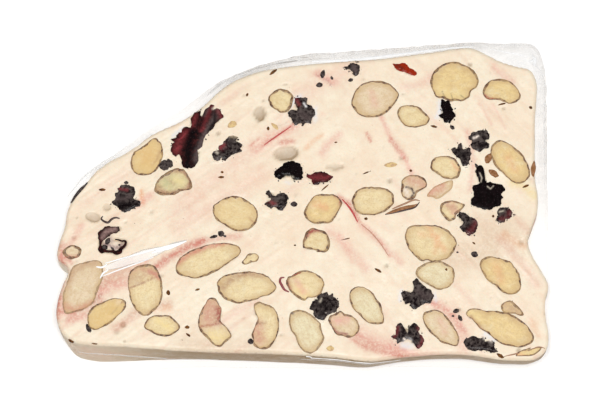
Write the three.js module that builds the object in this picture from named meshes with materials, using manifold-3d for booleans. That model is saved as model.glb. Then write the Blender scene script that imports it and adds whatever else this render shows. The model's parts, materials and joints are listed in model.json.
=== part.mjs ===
// A slab slice of soft white nougat with cut almonds and dried berries, in a clear film wrap.
// Millimetres, +Z up. The slab lies flat with its cut face up, and +X runs along its long side.
// The plan is laid out from a point near the middle of the cut face, then centred on the wrap.

import * as THREE from 'three';
import { mergeVertices } from 'three/addons/utils/BufferGeometryUtils.js';
import Module from 'manifold-3d';

const wasm = await Module();
wasm.setup();

// Driving sizes
const THICKNESS = 20; // from the table to the cut face
const GAP = 0.3; // between any two pieces
const RIM_STEPS = 88; // points round the slab and the film
const KNIFE_BASE = 0.8; // how far the underside is rounded in
const KNIFE_RIM = 1.3; // how far the cut face is rounded in
const SPREAD_LEFT = 3.6; // how far the front side slopes out at the left end
const UNDERCUT_RIGHT = 1.1; // how far it slopes in at the right end
const FILM_GAP = 0.35; // between the slab's side and the film
const FILM_WALL = 0.65; // the film's gathered thickness where it is tight
const FILM_TOP = 19.2; // where the film's margin meets the rim of the cut face
const ALMOND_DEPTH = 4.2; // of a full-sized cut almond, below the face
const ALMOND_FLATNESS = 0.45; // the most depth that an almond has for its width
const ALMOND_NARROWING = [0.86, 0.5]; // its outline's share at half its depth and at all of it
const BERRY_DEPTH = 3.4;
const BERRY_NARROWING = [0.88, 0.55];
const BERRY_CROWN = 0.6; // how far a berry stands proud of the face
const CROWN_WAVE = 0.25; // how much of its crown a berry's rim has at most, up and down
const CROWN_STEP = 2.4; // how fast that changes from one corner to the next, in radians
const LEAST_REACH = 0.9; // the smallest distance from a berry's middle to its rim
const ABOVE = 2; // how far a cutting tool reaches over the face
const SHARPEST = 0.6; // the least cosine between an outline's normal and its edge's, at a corner
const TURN = Math.PI * 2;

// Corners of an almond's outline: so many, and one more for each so many millimetres of length
const ALMOND_CORNERS = { least: 9, extra: 5, each: 4 };

// Corners of a berry's outline with few and with many lobes
const BERRY_CORNERS = { few: 18, many: 22, lobes: 3 };

// Waves of an outline: how many go round, and their height as a share of its radius
const ALMOND_WAVES = [[3, 0.02], [5, 0.015]];
const BERRY_WAVES = [[7, 0.05], [11, 0.04]];

const COLOURS = {
  nougat: 0xf8e6cf,
  almond: 0xe9d6a2,
  berry: 0x2b1d20,
  redBerry: 0x6e1a10,
  film: 0xf3f5f6,
};

// Rim of the cut face, anticlockwise from the right-hand end of the front edge
const SLAB_RIM = [
  [78.4, -48], [79.2, -44.7], [78, -33.8], [79.2, -26.2], [75.5, -19.8], [72.9, -13.2], [74.7, -6.6],
  [76.6, 0], [75.6, 6], [75.6, 25], [75.6, 43.4], [70.5, 45.4], [63, 48], [55.8, 51.7],
  [41.2, 50.3], [25, 48.2], [10.4, 47.2], [-4.2, 45.7], [-15.3, 43.7], [-25.3, 39.1],
  [-31.8, 33.1], [-38.3, 28.1], [-49.7, 22.5], [-56.2, 17.5], [-65.9, 11.9], [-70.5, 6.6],
  [-75.6, 0], [-77.6, -9.6], [-79.9, -16.9], [-76, -21.9], [-77.1, -25.2], [-79.5, -33.8],
  [-79.2, -39.1], [-75.5, -44.7], [-55.8, -47], [-33.4, -48.6], [-9.1, -49.3], [8.8, -50.3],
  [21.8, -51.7], [31.5, -50.5], [44.5, -49.5], [53.6, -49.7], [64.6, -51.3], [76, -50.7],
];

// Corners of the film in plan: it bridges the slab's hollows and stands off at the back right corner
const FILM_CORNERS = [
  [79.5, -50], [80.3, -46], [80.3, 49], [78.8, 56.2], [41, 55.2], [-1, 52.4], [-17, 47.2],
  [-28.6, 42.6], [-40, 33.6], [-48, 28.8], [-66, 15.2], [-79.4, 6], [-82.8, -16], [-82.2, -48.5],
  [-77, -50.6], [74, -52.4],
];

// The slab's side from the table up: its set-back from the rim and its share of the front slope
const SLAB_LEVELS = [
  { z: 0, out: -KNIFE_BASE, slope: 1 },
  { z: 1.2, out: 0, slope: 1 },
  { z: 9, out: 0.35, slope: 0.55 },
  { z: 18.4, out: 0, slope: 0 },
  { z: THICKNESS, out: -KNIFE_RIM, slope: 0 },
];

// The film's side from the table up: how much of its stand-off it has there
const FILM_LEVELS = [
  { z: 0, share: 0.97 }, { z: 1.5, share: 1 }, { z: 9, share: 0.92 }, { z: 15.5, share: 0.6 },
  { z: FILM_TOP, share: 0.1 },
];

// Cut almonds in the face: middle x and y, length, width, turn in degrees, how much narrower the far
// end is, how much of the near side is left, and how far the middle bends aside
const ALMONDS = [
  [-50.6, 15.4, 13.4, 9.6, 62, 0.12, 1, 0],
  [-42.4, 7.3, 12.4, 8.9, 8, 0.05, 1, 0],
  [-7.1, 34.3, 8.2, 7.2, -12, 0, 1, 0],
  [23.4, 34.6, 15.3, 11.6, 20, -0.05, 1, 0],
  [49.4, 40.4, 15.8, 13.2, 8, 0, 0.95, 0],
  [36, 28.8, 10.4, 7, -14, 0.12, 1, 0],
  [64.8, 37.1, 12.3, 8.6, -8, 0, 0.76, 0],
  [67.5, 13.4, 16.3, 10, -54, -0.1, 1, 0],
  [46.4, 11.8, 9.6, 7, 5, 0, 1, 0],
  [35.7, 5.3, 8.7, 7.6, 40, 0, 1, 0],
  [22.7, 0.8, 14.1, 8.8, 8, 0, 1, 0],
  [6.5, -2.2, 13, 9, 24, 0.05, 1, 0],
  [-21.8, -3.5, 15.1, 10.6, -12, 0, 1, 0],
  [4.5, -12.4, 9, 7.6, -6, 0, 0.72, 0],
  [-30.8, -19.2, 22, 9.3, 17, 0.05, 1, 0],
  [-18.2, -28.1, 19, 9.8, 3, 0.1, 1, 0],
  [1.1, -27.2, 12, 9, 5, 0, 1, 0],
  [-71.1, -27.5, 17.5, 10.8, 62, 0, 1, 0],
  [-51, -28.5, 16.6, 11.1, 88, 0, 1, 0],
  [-63.3, -36.6, 14, 7.4, 30, 0.05, 1, 0],
  [-45.3, -40.2, 11.2, 7.1, -6, 0, 1, 0],
  [-28.6, -39.4, 15.5, 9.2, 102, 0.2, 1, 0],
  [-11.9, -40.2, 14.8, 7.6, 90, 0, 1, 0.12],
  [1, -42.1, 14, 9.8, 106, 0, 1, 0],
  [13, -39.7, 10.8, 6.9, -28, 0, 1, 0],
  [20.5, -33.9, 13.6, 8.7, -55, 0, 1, 0],
  [41.6, -13.2, 16.5, 11.7, -8, 0, 1, 0],
  [42.9, -24, 12.7, 8.8, 0, 0, 1, 0],
  [63.8, -23.8, 15, 9.5, -46, 0, 1, 0],
  [44.3, -41.4, 14.6, 8.8, -48, 0, 1, 0],
  [63.6, -41.1, 24.2, 8.8, -25, -0.15, 1, 0],
  [67.7, -34.2, 7.8, 4, -22, 0, 0.55, 0],
  [48.5, -2.5, 8.8, 6.5, 5, 0, 1, 0],
  [-74.8, -16.6, 6, 4, 0, 0, 1, 0],
  [-16.9, -18.5, 5.9, 3.3, 15, -0.3, 1, 0],
  [73.4, -49.4, 10, 3.8, 8, 0, 1, 0],
  [44.5, 4.3, 8, 5.2, 20, 0, 1, 0],
];

// Wrinkled berries in the face. Each lobe gives its middle from the berry's, its length, width and turn
const BERRIES = [
  { at: [-36, 20.1], lobes: [[3.6, 4, 20.8, 6.2, 67], [-3.6, 0, 11, 7.2, 50], [1, 7.3, 7.8, 3.9, 65],
    [-1, -5.3, 7.2, 5.8, 80]] },
  { at: [-24, 17.8], lobes: [[0.6, 0.3, 8.2, 6.4, 30], [-4.2, -1.9, 3.6, 3.4, 0], [-1.3, -2.3, 4.2, 2.8, 10],
    [3, 1, 3.4, 5.6, 0]] },
  { at: [-0.3, 30], lobes: [[0, -0.3, 7.8, 6.6, 0], [2.6, 0.3, 4, 6, 0], [0, 3.4, 3.8, 3.2, 20],
    [-3.4, -0.6, 2.8, 4.6, -20], [-0.2, -3.8, 3.6, 2.4, 0]] },
  { at: [-57.8, 1.3], lobes: [[0.3, 2.9, 6.4, 3.8, 0], [-0.6, 0.2, 8.2, 5.4, 0], [3.1, -1.3, 4, 2.8, -10],
    [-0.2, -2.8, 4.8, 2.8, 0]] },
  { at: [-4.5, 10.9], lobes: [[0, 0.5, 8.4, 5, 0], [-3.1, -1.5, 3.2, 3.6, -30], [3, -1.2, 3.2, 4.2, 20]] },
  { at: [5.2, 8.2], lobes: [[0.2, 0, 7.4, 4, -3], [-3.3, 0.9, 2.4, 1.6, -20], [3.2, 0.3, 2.4, 2.2, 0]] },
  { at: [16.6, 44.6], lobes: [[0.3, 0, 4.6, 3.4, -60], [-2.2, 0.2, 1.8, 1.4, 0]] },
  { at: [32.8, 44.7], lobes: [[-0.8, 0.3, 5, 2.6, -10], [2, -1.1, 5.2, 1.6, -30], [0.2, 1.2, 1.6, 1.4, 0]],
    red: true },
  { at: [47.1, 30.3], lobes: [[0, -0.6, 4.2, 6.4, 0], [-0.7, 3.2, 2, 3, 0], [2, -1.2, 2.8, 2.8, 0],
    [-2.2, -2.6, 2.6, 1.6, 0]] },
  { at: [57.5, 20.8], lobes: [[0, -1.5, 6.2, 3.8, 0], [0.9, 1.9, 5, 2.8, -15], [-2.2, 0.8, 1.8, 3.2, 0]] },
  { at: [51.6, 15.8], lobes: [[0.6, -1.2, 3.4, 5, 0], [-2, 1.2, 4.2, 2.2, -40], [-0.4, 2.2, 1.7, 4, 0],
    [2, 1, 2.2, 4.4, -10]] },
  { at: [59.7, 3], lobes: [[-0.3, -1, 9, 7.4, 0], [0, 2, 6.4, 4.4, 0], [4.4, 1.8, 3.2, 2.4, -25],
    [-3.8, -2.6, 3.2, 3.6, 0], [2.9, -3, 3.4, 3.2, 0], [-1.9, 6.8, 6, 2, -62]] },
  { at: [65.3, -3.6], lobes: [[0.4, 0.5, 4.8, 3.6, -15], [-1.2, -1.5, 3, 2.4, 20]] },
  { at: [53.2, -6.9], lobes: [[0, 0.3, 4, 4.6, 0], [-1.3, 2.6, 3.8, 2.2, -35], [2, 0.8, 3.2, 3.4, 0],
    [0.3, -2, 4.6, 2.8, 0]] },
  { at: [-8.1, 0.3], lobes: [[1.3, 0.6, 4, 5.4, 0], [-1.2, 0, 4, 2.6, 0], [-2.9, 2.6, 3.8, 1.3, -60],
    [-3, -0.7, 2.4, 1.6, 0], [0.5, -1.7, 3.6, 2.6, 0]] },
  { at: [7.1, -33.6], lobes: [[-1.8, -0.5, 5.6, 6.4, 0], [1.4, 0.9, 6, 6, 0], [0.3, -1.8, 6, 4.6, 0]] },
  { at: [36.7, -30], lobes: [[0.3, -0.6, 6.2, 6.4, 0], [-0.6, 3.4, 2.8, 4.2, 0], [2.8, 1, 4, 4.6, -40],
    [-4.2, 0, 1.6, 2.6, 0], [-2.8, 0, 2.4, 1.2, 0]] },
  { at: [34.1, -43.2], lobes: [[-2.8, 1.4, 2.4, 4.6, -10], [-3.4, -0.9, 4.4, 3.4, 0], [-0.2, -0.2, 4.6, 2, 0],
    [2.2, 1.4, 2.6, 4.8, 0], [3.2, -1.5, 3.6, 5, 10]] },
  { at: [57.1, -46.3], lobes: [[-1.9, 0.2, 6.4, 4.2, 0], [2.3, -0.9, 5.4, 2.8, -22]] },
];

// One berry is curled round into an open ring: its middle line is an arc that thins towards its end
const CURLED_BERRY = {
  at: [-62.3, -12.3], radius: 3.9, start: 55, sweep: 275, wide: 1.5, narrow: 0.8, ends: 0.5, crown: 0.4,
};
const CURL_STEPS = 12;

// Dents that air left in the face: middle x and y, length, width, depth and turn in degrees
const DENTS = [
  [-14.6, 29.8, 4.4, 5.4, 1.1, 0],
  [-68.2, -4.8, 5.4, 3.4, 0.9, -15],
  [-63.6, -1.2, 2.8, 2.6, 0.8, 0],
  [-5.4, 16.8, 8.6, 5, 1.1, 5],
  [10.4, 12.2, 6.4, 2.4, 0.7, 0],
];

// Outline with its points moved outwards by a distance, along the mean normal at each point
function grow(outline, distance) {
  return outline.map((point, i) => {
    const before = outline[(i + outline.length - 1) % outline.length];
    const after = outline[(i + 1) % outline.length];
    const along = after.clone().sub(point).normalize().add(point.clone().sub(before).normalize());
    const normal = new THREE.Vector2(along.y, -along.x).normalize();
    const edge = after.clone().sub(point).normalize();
    const cosine = Math.max(SHARPEST, normal.dot(new THREE.Vector2(edge.y, -edge.x)));
    return point.clone().addScaledVector(normal, distance / cosine);
  });
}

// Outline shrunk or stretched about the origin
function scaled(outline, share) {
  return outline.map((point) => point.clone().multiplyScalar(share));
}

// How far an outline's radius is stretched at an angle by its waves
function waved(waves, angle, seed) {
  const heights = waves.map(([count, height], i) => height * Math.sin(count * angle + (i + 1) * seed));
  return heights.reduce((sum, height) => sum + height, 1);
}

// Ring of points at one height; `lift` may raise each point by its own amount
function ringAt(outline, z, lift = () => 0) {
  return outline.map((point, i) => new THREE.Vector3(point.x, point.y, z + lift(i)));
}

// Closed body through rings stacked upwards, each anticlockwise from above with as many points.
// With a crown the top is a low cone to that point, and otherwise it is flat.
function loft(rings, crown = null) {
  const size = rings[0].length;
  const points = rings.flat();
  const faces = [];
  for (let level = 0; level + 1 < rings.length; level++) {
    for (let i = 0; i < size; i++) {
      const a = level * size + i;
      const b = level * size + ((i + 1) % size);
      faces.push(a, b, b + size, a, b + size, a + size);
    }
  }
  const flatten = (ring) => ring.map((point) => new THREE.Vector2(point.x, point.y));
  for (const [a, b, c] of THREE.ShapeUtils.triangulateShape(flatten(rings[0]), [])) {
    faces.push(a, c, b);
  }
  const top = (rings.length - 1) * size;
  if (crown) {
    points.push(crown);
    for (let i = 0; i < size; i++) faces.push(top + i, top + ((i + 1) % size), points.length - 1);
  } else {
    for (const [a, b, c] of THREE.ShapeUtils.triangulateShape(flatten(rings.at(-1)), [])) {
      faces.push(top + a, top + b, top + c);
    }
  }
  return indexed(points, faces);
}

// Closed hoop: the same cross-section loop of points at every step round
function hoop(sections) {
  const size = sections[0].length;
  const faces = [];
  for (let step = 0; step < sections.length; step++) {
    const next = (step + 1) % sections.length;
    for (let i = 0; i < size; i++) {
      const a = step * size + i;
      const b = next * size + i;
      const c = next * size + ((i + 1) % size);
      const d = step * size + ((i + 1) % size);
      faces.push(a, b, c, a, c, d);
    }
  }
  return indexed(sections.flat(), faces);
}

function indexed(points, faces) {
  return new THREE.BufferGeometry().setFromPoints(points).setIndex(faces);
}

function toSolid(geometry) {
  const bare = geometry.clone();
  bare.deleteAttribute('normal');
  bare.deleteAttribute('uv');
  const merged = mergeVertices(bare, 1e-4);
  return new wasm.Manifold(new wasm.Mesh({
    numProp: 3,
    vertProperties: new Float32Array(merged.attributes.position.array),
    triVerts: new Uint32Array(merged.index.array),
  }));
}

// The biggest body of a cut solid, without the scraps that the cut leaves
function largest(solid) {
  return solid.decompose().reduce((best, part) => (part.volume() > best.volume() ? part : best));
}

// The slab's rim and its outward normals, at even steps
const rimCurve = new THREE.CatmullRomCurve3(
  SLAB_RIM.map(([x, y]) => new THREE.Vector3(x, y, 0)), true, 'centripetal',
);
const rim = rimCurve.getSpacedPoints(RIM_STEPS).slice(0, RIM_STEPS);
const rimNormals = rim.map((point, i) => {
  const along = rim[(i + 1) % RIM_STEPS].clone().sub(rim[(i + RIM_STEPS - 1) % RIM_STEPS]);
  return new THREE.Vector3(along.y, -along.x, 0).normalize();
});

// How far the front side stands out at the table: outwards at the left end, inwards at the right
function frontSlope(x) {
  const left = SPREAD_LEFT * THREE.MathUtils.smoothstep(-x, 30, 68);
  const right = UNDERCUT_RIGHT * THREE.MathUtils.smoothstep(x, 10, 60);
  return left - right;
}

// Point of the slab's side at a rim step and a height, moved outwards by a clearance
function sidePoint(step, z, clearance = 0) {
  const upper = Math.max(1, SLAB_LEVELS.findIndex((level) => level.z >= z));
  const low = SLAB_LEVELS[upper - 1];
  const high = SLAB_LEVELS[upper];
  const share = (z - low.z) / (high.z - low.z);
  const facesFront = Math.max(0, -rimNormals[step].y) ** 2;
  const mix = (key) => THREE.MathUtils.lerp(low[key], high[key], share);
  const out = mix('out') + mix('slope') * frontSlope(rim[step].x) * facesFront;
  return rim[step].clone().addScaledVector(rimNormals[step], out + clearance).setZ(z);
}

// The slab before the almonds and berries are let into it
function slabBlock() {
  return toSolid(loft(SLAB_LEVELS.map((level) => rim.map((_, step) => sidePoint(step, level.z)))));
}

// The same sides carried straight up past the face, to trim what comes out at the rim
function trimBlock() {
  const sides = SLAB_LEVELS.map((level) => rim.map((_, step) => sidePoint(step, level.z)));
  const over = rim.map((_, step) => sidePoint(step, THICKNESS).setZ(THICKNESS + ABOVE));
  return toSolid(loft([...sides, over]));
}

// Distance from the plan's middle to the film's outline, in a point's direction
function filmReach(point) {
  const towards = new THREE.Vector2(point.x, point.y).normalize();
  let reach = 0;
  FILM_CORNERS.forEach(([x, y], i) => {
    const [nextX, nextY] = FILM_CORNERS[(i + 1) % FILM_CORNERS.length];
    const start = new THREE.Vector2(x, y);
    const edge = new THREE.Vector2(nextX - x, nextY - y);
    const across = towards.cross(edge);
    const onEdge = start.cross(towards) / across;
    if (Math.abs(across) > 1e-9 && onEdge >= 0 && onEdge <= 1) {
      reach = Math.max(reach, start.cross(edge) / across);
    }
  });
  return reach;
}

// The film's margin round the slab: tight to its side within, and sloping down to its own outline
function filmHoop() {
  const outside = FILM_GAP + FILM_WALL;
  const innerLevels = [FILM_TOP, ...SLAB_LEVELS.slice(0, -1).map((level) => level.z).reverse()];
  const sections = rim.map((point, step) => {
    const outwards = point.clone().normalize();
    const standOff = Math.max(0, filmReach(point) - point.length() - outside);
    const outer = FILM_LEVELS.map(({ z, share }) => (
      sidePoint(step, z, outside).addScaledVector(outwards, standOff * share)
    ));
    const inner = innerLevels.map((z) => sidePoint(step, z, FILM_GAP));
    return [...outer, ...inner];
  });
  return toSolid(hoop(sections));
}

function almondOutline([, , length, width, , point, left, bend], seed) {
  const { least, extra, each } = ALMOND_CORNERS;
  const steps = least + Math.round(Math.min(extra, length / each));
  const outline = [];
  for (let i = 0; i < steps; i++) {
    const angle = (TURN * i) / steps;
    const wave = waved(ALMOND_WAVES, angle, seed);
    const x = (length / 2) * Math.cos(angle) * wave;
    const y = (width / 2) * Math.sin(angle) * wave * (1 - point * Math.cos(angle));
    const aside = bend * width * (1 - (2 * x / length) ** 2);
    outline.push(new THREE.Vector2(x, Math.max(y, -left * width / 2) - aside));
  }
  return outline;
}

// Distance from a berry's middle to the far side of one of its lobes, 0 where the line misses it
function lobeReach(angle, [x, y, length, width, turn]) {
  const tilt = THREE.MathUtils.degToRad(turn);
  const origin = new THREE.Vector2();
  const line = new THREE.Vector2(Math.cos(angle), Math.sin(angle)).rotateAround(origin, -tilt);
  const middle = new THREE.Vector2(x, y).rotateAround(origin, -tilt);
  const squeeze = new THREE.Vector2(2 / length, 2 / width);
  line.multiply(squeeze);
  middle.multiply(squeeze);
  const root = line.dot(middle) ** 2 - line.lengthSq() * (middle.lengthSq() - 1);
  return root < 0 ? 0 : (line.dot(middle) + Math.sqrt(root)) / line.lengthSq();
}

function berryOutline(lobes, seed) {
  const steps = lobes.length > BERRY_CORNERS.lobes ? BERRY_CORNERS.many : BERRY_CORNERS.few;
  const outline = [];
  for (let i = 0; i < steps; i++) {
    const angle = (TURN * i) / steps;
    const reach = Math.max(LEAST_REACH, ...lobes.map((lobe) => lobeReach(angle, lobe)));
    const radius = reach * waved(BERRY_WAVES, angle, seed);
    outline.push(new THREE.Vector2(Math.cos(angle), Math.sin(angle)).multiplyScalar(radius));
  }
  return outline;
}

function curledOutline({ radius, start, sweep, wide, narrow, ends }) {
  const outer = [];
  const inner = [];
  for (let i = 0; i <= CURL_STEPS; i++) {
    const share = i / CURL_STEPS;
    const angle = THREE.MathUtils.degToRad(start + sweep * share);
    const taper = i === 0 || i === CURL_STEPS ? ends : 1;
    const half = THREE.MathUtils.lerp(wide, narrow, share) * taper;
    const line = new THREE.Vector2(Math.cos(angle), Math.sin(angle));
    outer.push(line.clone().multiplyScalar(radius + half));
    inner.unshift(line.clone().multiplyScalar(radius - half));
  }
  return [...outer, ...inner];
}

// A piece let into the face: its solid, and the wider pocket that it sits in
function inlay({ outline, depth, narrowing, at, turn = 0, crown = 0, seed = 0 }) {
  const levels = [[depth, narrowing[1]], [depth / 2, narrowing[0]], [0, 1]];
  const lift = (i) => CROWN_WAVE * crown * (1 + Math.sin(CROWN_STEP * i + seed));
  const solidRings = levels.map(([below, share], i) => (
    ringAt(scaled(outline, share), THICKNESS - below, i === 2 ? lift : undefined)
  ));
  const pocketRings = levels.map(([below, share]) => (
    ringAt(grow(scaled(outline, share), GAP), THICKNESS - below - (below === depth ? GAP : 0))
  ));
  pocketRings.push(ringAt(grow(outline, GAP), THICKNESS + ABOVE));
  const top = crown && narrowing[1] < 1 ? new THREE.Vector3(0, 0, THICKNESS + crown) : null;
  const tilt = THREE.MathUtils.degToRad(turn);
  const place = (geometry) => toSolid(geometry.rotateZ(tilt).translate(at[0], at[1], 0));
  return { solid: place(loft(solidRings, top)), pocket: place(loft(pocketRings)) };
}

function almondInlays() {
  return ALMONDS.map((row, i) => {
    const [x, y, length, width, turn] = row;
    const depth = Math.min(ALMOND_DEPTH, width * ALMOND_FLATNESS);
    const piece = inlay({
      outline: almondOutline(row, i), depth, narrowing: ALMOND_NARROWING, at: [x, y], turn,
    });
    return { ...piece, reach: length / 2, at: [x, y], colour: COLOURS.almond, kind: 'almond' };
  });
}

function berryInlays() {
  const lobed = BERRIES.map(({ at, lobes, red }, i) => {
    const outline = berryOutline(lobes, i);
    const piece = inlay({
      outline, depth: BERRY_DEPTH, narrowing: BERRY_NARROWING, at, crown: BERRY_CROWN, seed: i,
    });
    const reach = Math.max(...outline.map((point) => point.length()));
    return { ...piece, reach, at, colour: red ? COLOURS.redBerry : COLOURS.berry, kind: 'berry' };
  });
  const { at, radius, wide, crown } = CURLED_BERRY;
  const curled = inlay({
    outline: curledOutline(CURLED_BERRY), depth: BERRY_DEPTH, narrowing: [1, 1], at, crown,
  });
  return [...lobed, { ...curled, reach: radius + wide, at, colour: COLOURS.berry, kind: 'berry' }];
}

// Cut each piece back from the pockets of those before it that it meets, and trim it at the rim
function fitInlays(pieces) {
  const trim = trimBlock();
  pieces.forEach((piece, i) => {
    let solid = piece.solid.intersect(trim);
    for (const other of pieces.slice(0, i)) {
      const apart = Math.hypot(piece.at[0] - other.at[0], piece.at[1] - other.at[1]);
      if (apart < piece.reach + other.reach + GAP) solid = solid.subtract(other.pocket);
    }
    piece.solid = largest(solid);
  });
  return pieces;
}

function dent([x, y, length, width, depth, turn]) {
  const bowl = new THREE.SphereGeometry(1, 12, 8).rotateX(Math.PI / 2);
  bowl.scale(length / 2, width / 2, depth).rotateZ(THREE.MathUtils.degToRad(turn));
  return toSolid(bowl.translate(x, y, THICKNESS));
}

function carvedSlab(pieces) {
  let slab = slabBlock();
  for (const { pocket } of pieces) slab = slab.subtract(pocket);
  for (const row of DENTS) slab = slab.subtract(dent(row));
  return largest(slab);
}

function named(solid, name, colour, finish = {}) {
  const { vertProperties, triVerts } = solid.getMesh();
  const geometry = new THREE.BufferGeometry();
  geometry.setAttribute('position', new THREE.BufferAttribute(new Float32Array(vertProperties), 3));
  geometry.setIndex(new THREE.BufferAttribute(new Uint32Array(triVerts), 1));
  geometry.computeVertexNormals();
  const material = new THREE.MeshStandardMaterial({ color: colour, roughness: 0.6, metalness: 0, ...finish });
  const mesh = new THREE.Mesh(geometry, material);
  mesh.name = name;
  return mesh;
}

const pieces = fitInlays([...berryInlays(), ...almondInlays()]);
const film = filmHoop();
const bar = new THREE.Group();
bar.add(named(carvedSlab(pieces), 'nougat_slab', COLOURS.nougat, { roughness: 0.7 }));
bar.add(named(film, 'film_wrap', COLOURS.film, { roughness: 0.12, transparent: true, opacity: 0.35 }));

const counts = { almond: 0, berry: 0 };
for (const { solid, kind, colour } of pieces) {
  counts[kind] += 1;
  const name = `${kind}_${String(counts[kind]).padStart(2, '0')}`;
  bar.add(named(solid, name, colour, { roughness: kind === 'berry' ? 0.35 : 0.6 }));
}

// The wrapped bar stands on the middle of its own plan
const { min, max } = film.boundingBox();
bar.position.set(-(min[0] + max[0]) / 2, -(min[1] + max[1]) / 2, 0);

export default bar;
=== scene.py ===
"""The finish of a nougat bar: a slab slice with cut almonds and dried berries, in a clear film wrap."""

import itertools
import json
import math

import bpy
import numpy as np
from bpy.props import FloatProperty, FloatVectorProperty, IntProperty, PointerProperty
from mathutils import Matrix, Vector, kdtree

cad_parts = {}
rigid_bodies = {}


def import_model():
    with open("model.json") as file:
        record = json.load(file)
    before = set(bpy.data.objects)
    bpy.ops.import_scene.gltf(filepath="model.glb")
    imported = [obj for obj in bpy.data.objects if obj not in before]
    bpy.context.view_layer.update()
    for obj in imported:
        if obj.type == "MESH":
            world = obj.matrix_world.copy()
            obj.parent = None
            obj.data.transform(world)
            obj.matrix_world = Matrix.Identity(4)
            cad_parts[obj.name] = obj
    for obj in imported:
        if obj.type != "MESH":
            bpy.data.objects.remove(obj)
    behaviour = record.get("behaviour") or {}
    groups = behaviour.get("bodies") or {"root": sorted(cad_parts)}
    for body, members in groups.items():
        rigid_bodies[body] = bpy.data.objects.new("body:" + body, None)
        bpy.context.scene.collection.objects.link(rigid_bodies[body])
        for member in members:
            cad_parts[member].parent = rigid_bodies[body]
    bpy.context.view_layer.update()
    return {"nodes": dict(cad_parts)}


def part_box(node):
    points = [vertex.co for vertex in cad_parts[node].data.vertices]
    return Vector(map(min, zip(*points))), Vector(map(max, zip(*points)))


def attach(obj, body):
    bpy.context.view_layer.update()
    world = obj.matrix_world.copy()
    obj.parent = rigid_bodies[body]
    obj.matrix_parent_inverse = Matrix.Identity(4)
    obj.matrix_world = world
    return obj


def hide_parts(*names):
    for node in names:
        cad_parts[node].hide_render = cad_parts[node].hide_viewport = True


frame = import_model()

bl_info = {
    "name": "Nougat Bar",
    "version": (1, 0, 0),
    "blender": (4, 5, 0),
    "location": "3D View > Sidebar > Nougat Bar",
    "description": "Finishes the solids of a nougat bar: nougat, cut almonds, dried berries and film",
    "category": "Object",
}

# Lengths inside the functions are in millimetres, and MM turns them into metres
MM = 0.001
TURN = 2 * math.pi

# The photograph: its size, the pixel over the plan's middle on the cut face, and its scale there
PHOTO_SIZE = (600, 400)
PHOTO_MIDDLE = (299.28, 200.1)
PIXELS_PER_MM = (3.08, 3.02)
CAMERA_RISE = math.radians(78.8)

# Heights of the slab's side and of the film's side, and the clear gap between the two
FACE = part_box("nougat_slab")[1].z / MM
SIDE_TOP = 18.4
SIDE_FOOT = 1.2
FILM_GAP = 0.35
FILM_TIGHT = 1.0

# How bright the light on the cut face is: a white surface there gives this much
FACE_LIGHT = 1.2


def seen(red, green, blue):
    """Surface colour that looks like this colour of the photograph, 0 to 255, in the scene's light."""
    return tuple(((part / 255 + 0.055) / 1.055) ** 2.4 / FACE_LIGHT for part in (red, green, blue))


INKS = {
    "pink": seen(237, 176, 157),
    "rose": seen(216, 132, 112),
    "red": seen(206, 62, 62),
    "rust": seen(172, 84, 62),
    "orange": seen(240, 172, 122),
    "brown": seen(178, 130, 96),
    "tan": seen(206, 168, 132),
    "dark": seen(62, 36, 32),
    "wine": seen(150, 62, 66),
    "yellow": seen(250, 224, 156),
    "pale": seen(254, 238, 224),
    # Grey marks paint glints of light on the berries
    "grey": seen(196, 184, 166),
    # Painted shade: the colour of nougat down in a shaded dent
    "hollow": seen(202, 182, 152),
    "flush": seen(216, 160, 132),
    "honey": seen(232, 196, 128),
    "olive": seen(206, 198, 146),
    # Painted glint: light on the film where it rises over a berry
    "film_glint": seen(242, 238, 236),
    "dusk": seen(158, 128, 122),
    "ash": seen(98, 84, 82),
    "black": seen(18, 11, 13),
}

# Corners of the cut face, in photograph pixels, anticlockwise from the front left one
SLAB_CORNERS = ((63, 331), (541, 354), (536, 73), (70, 203))

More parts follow.
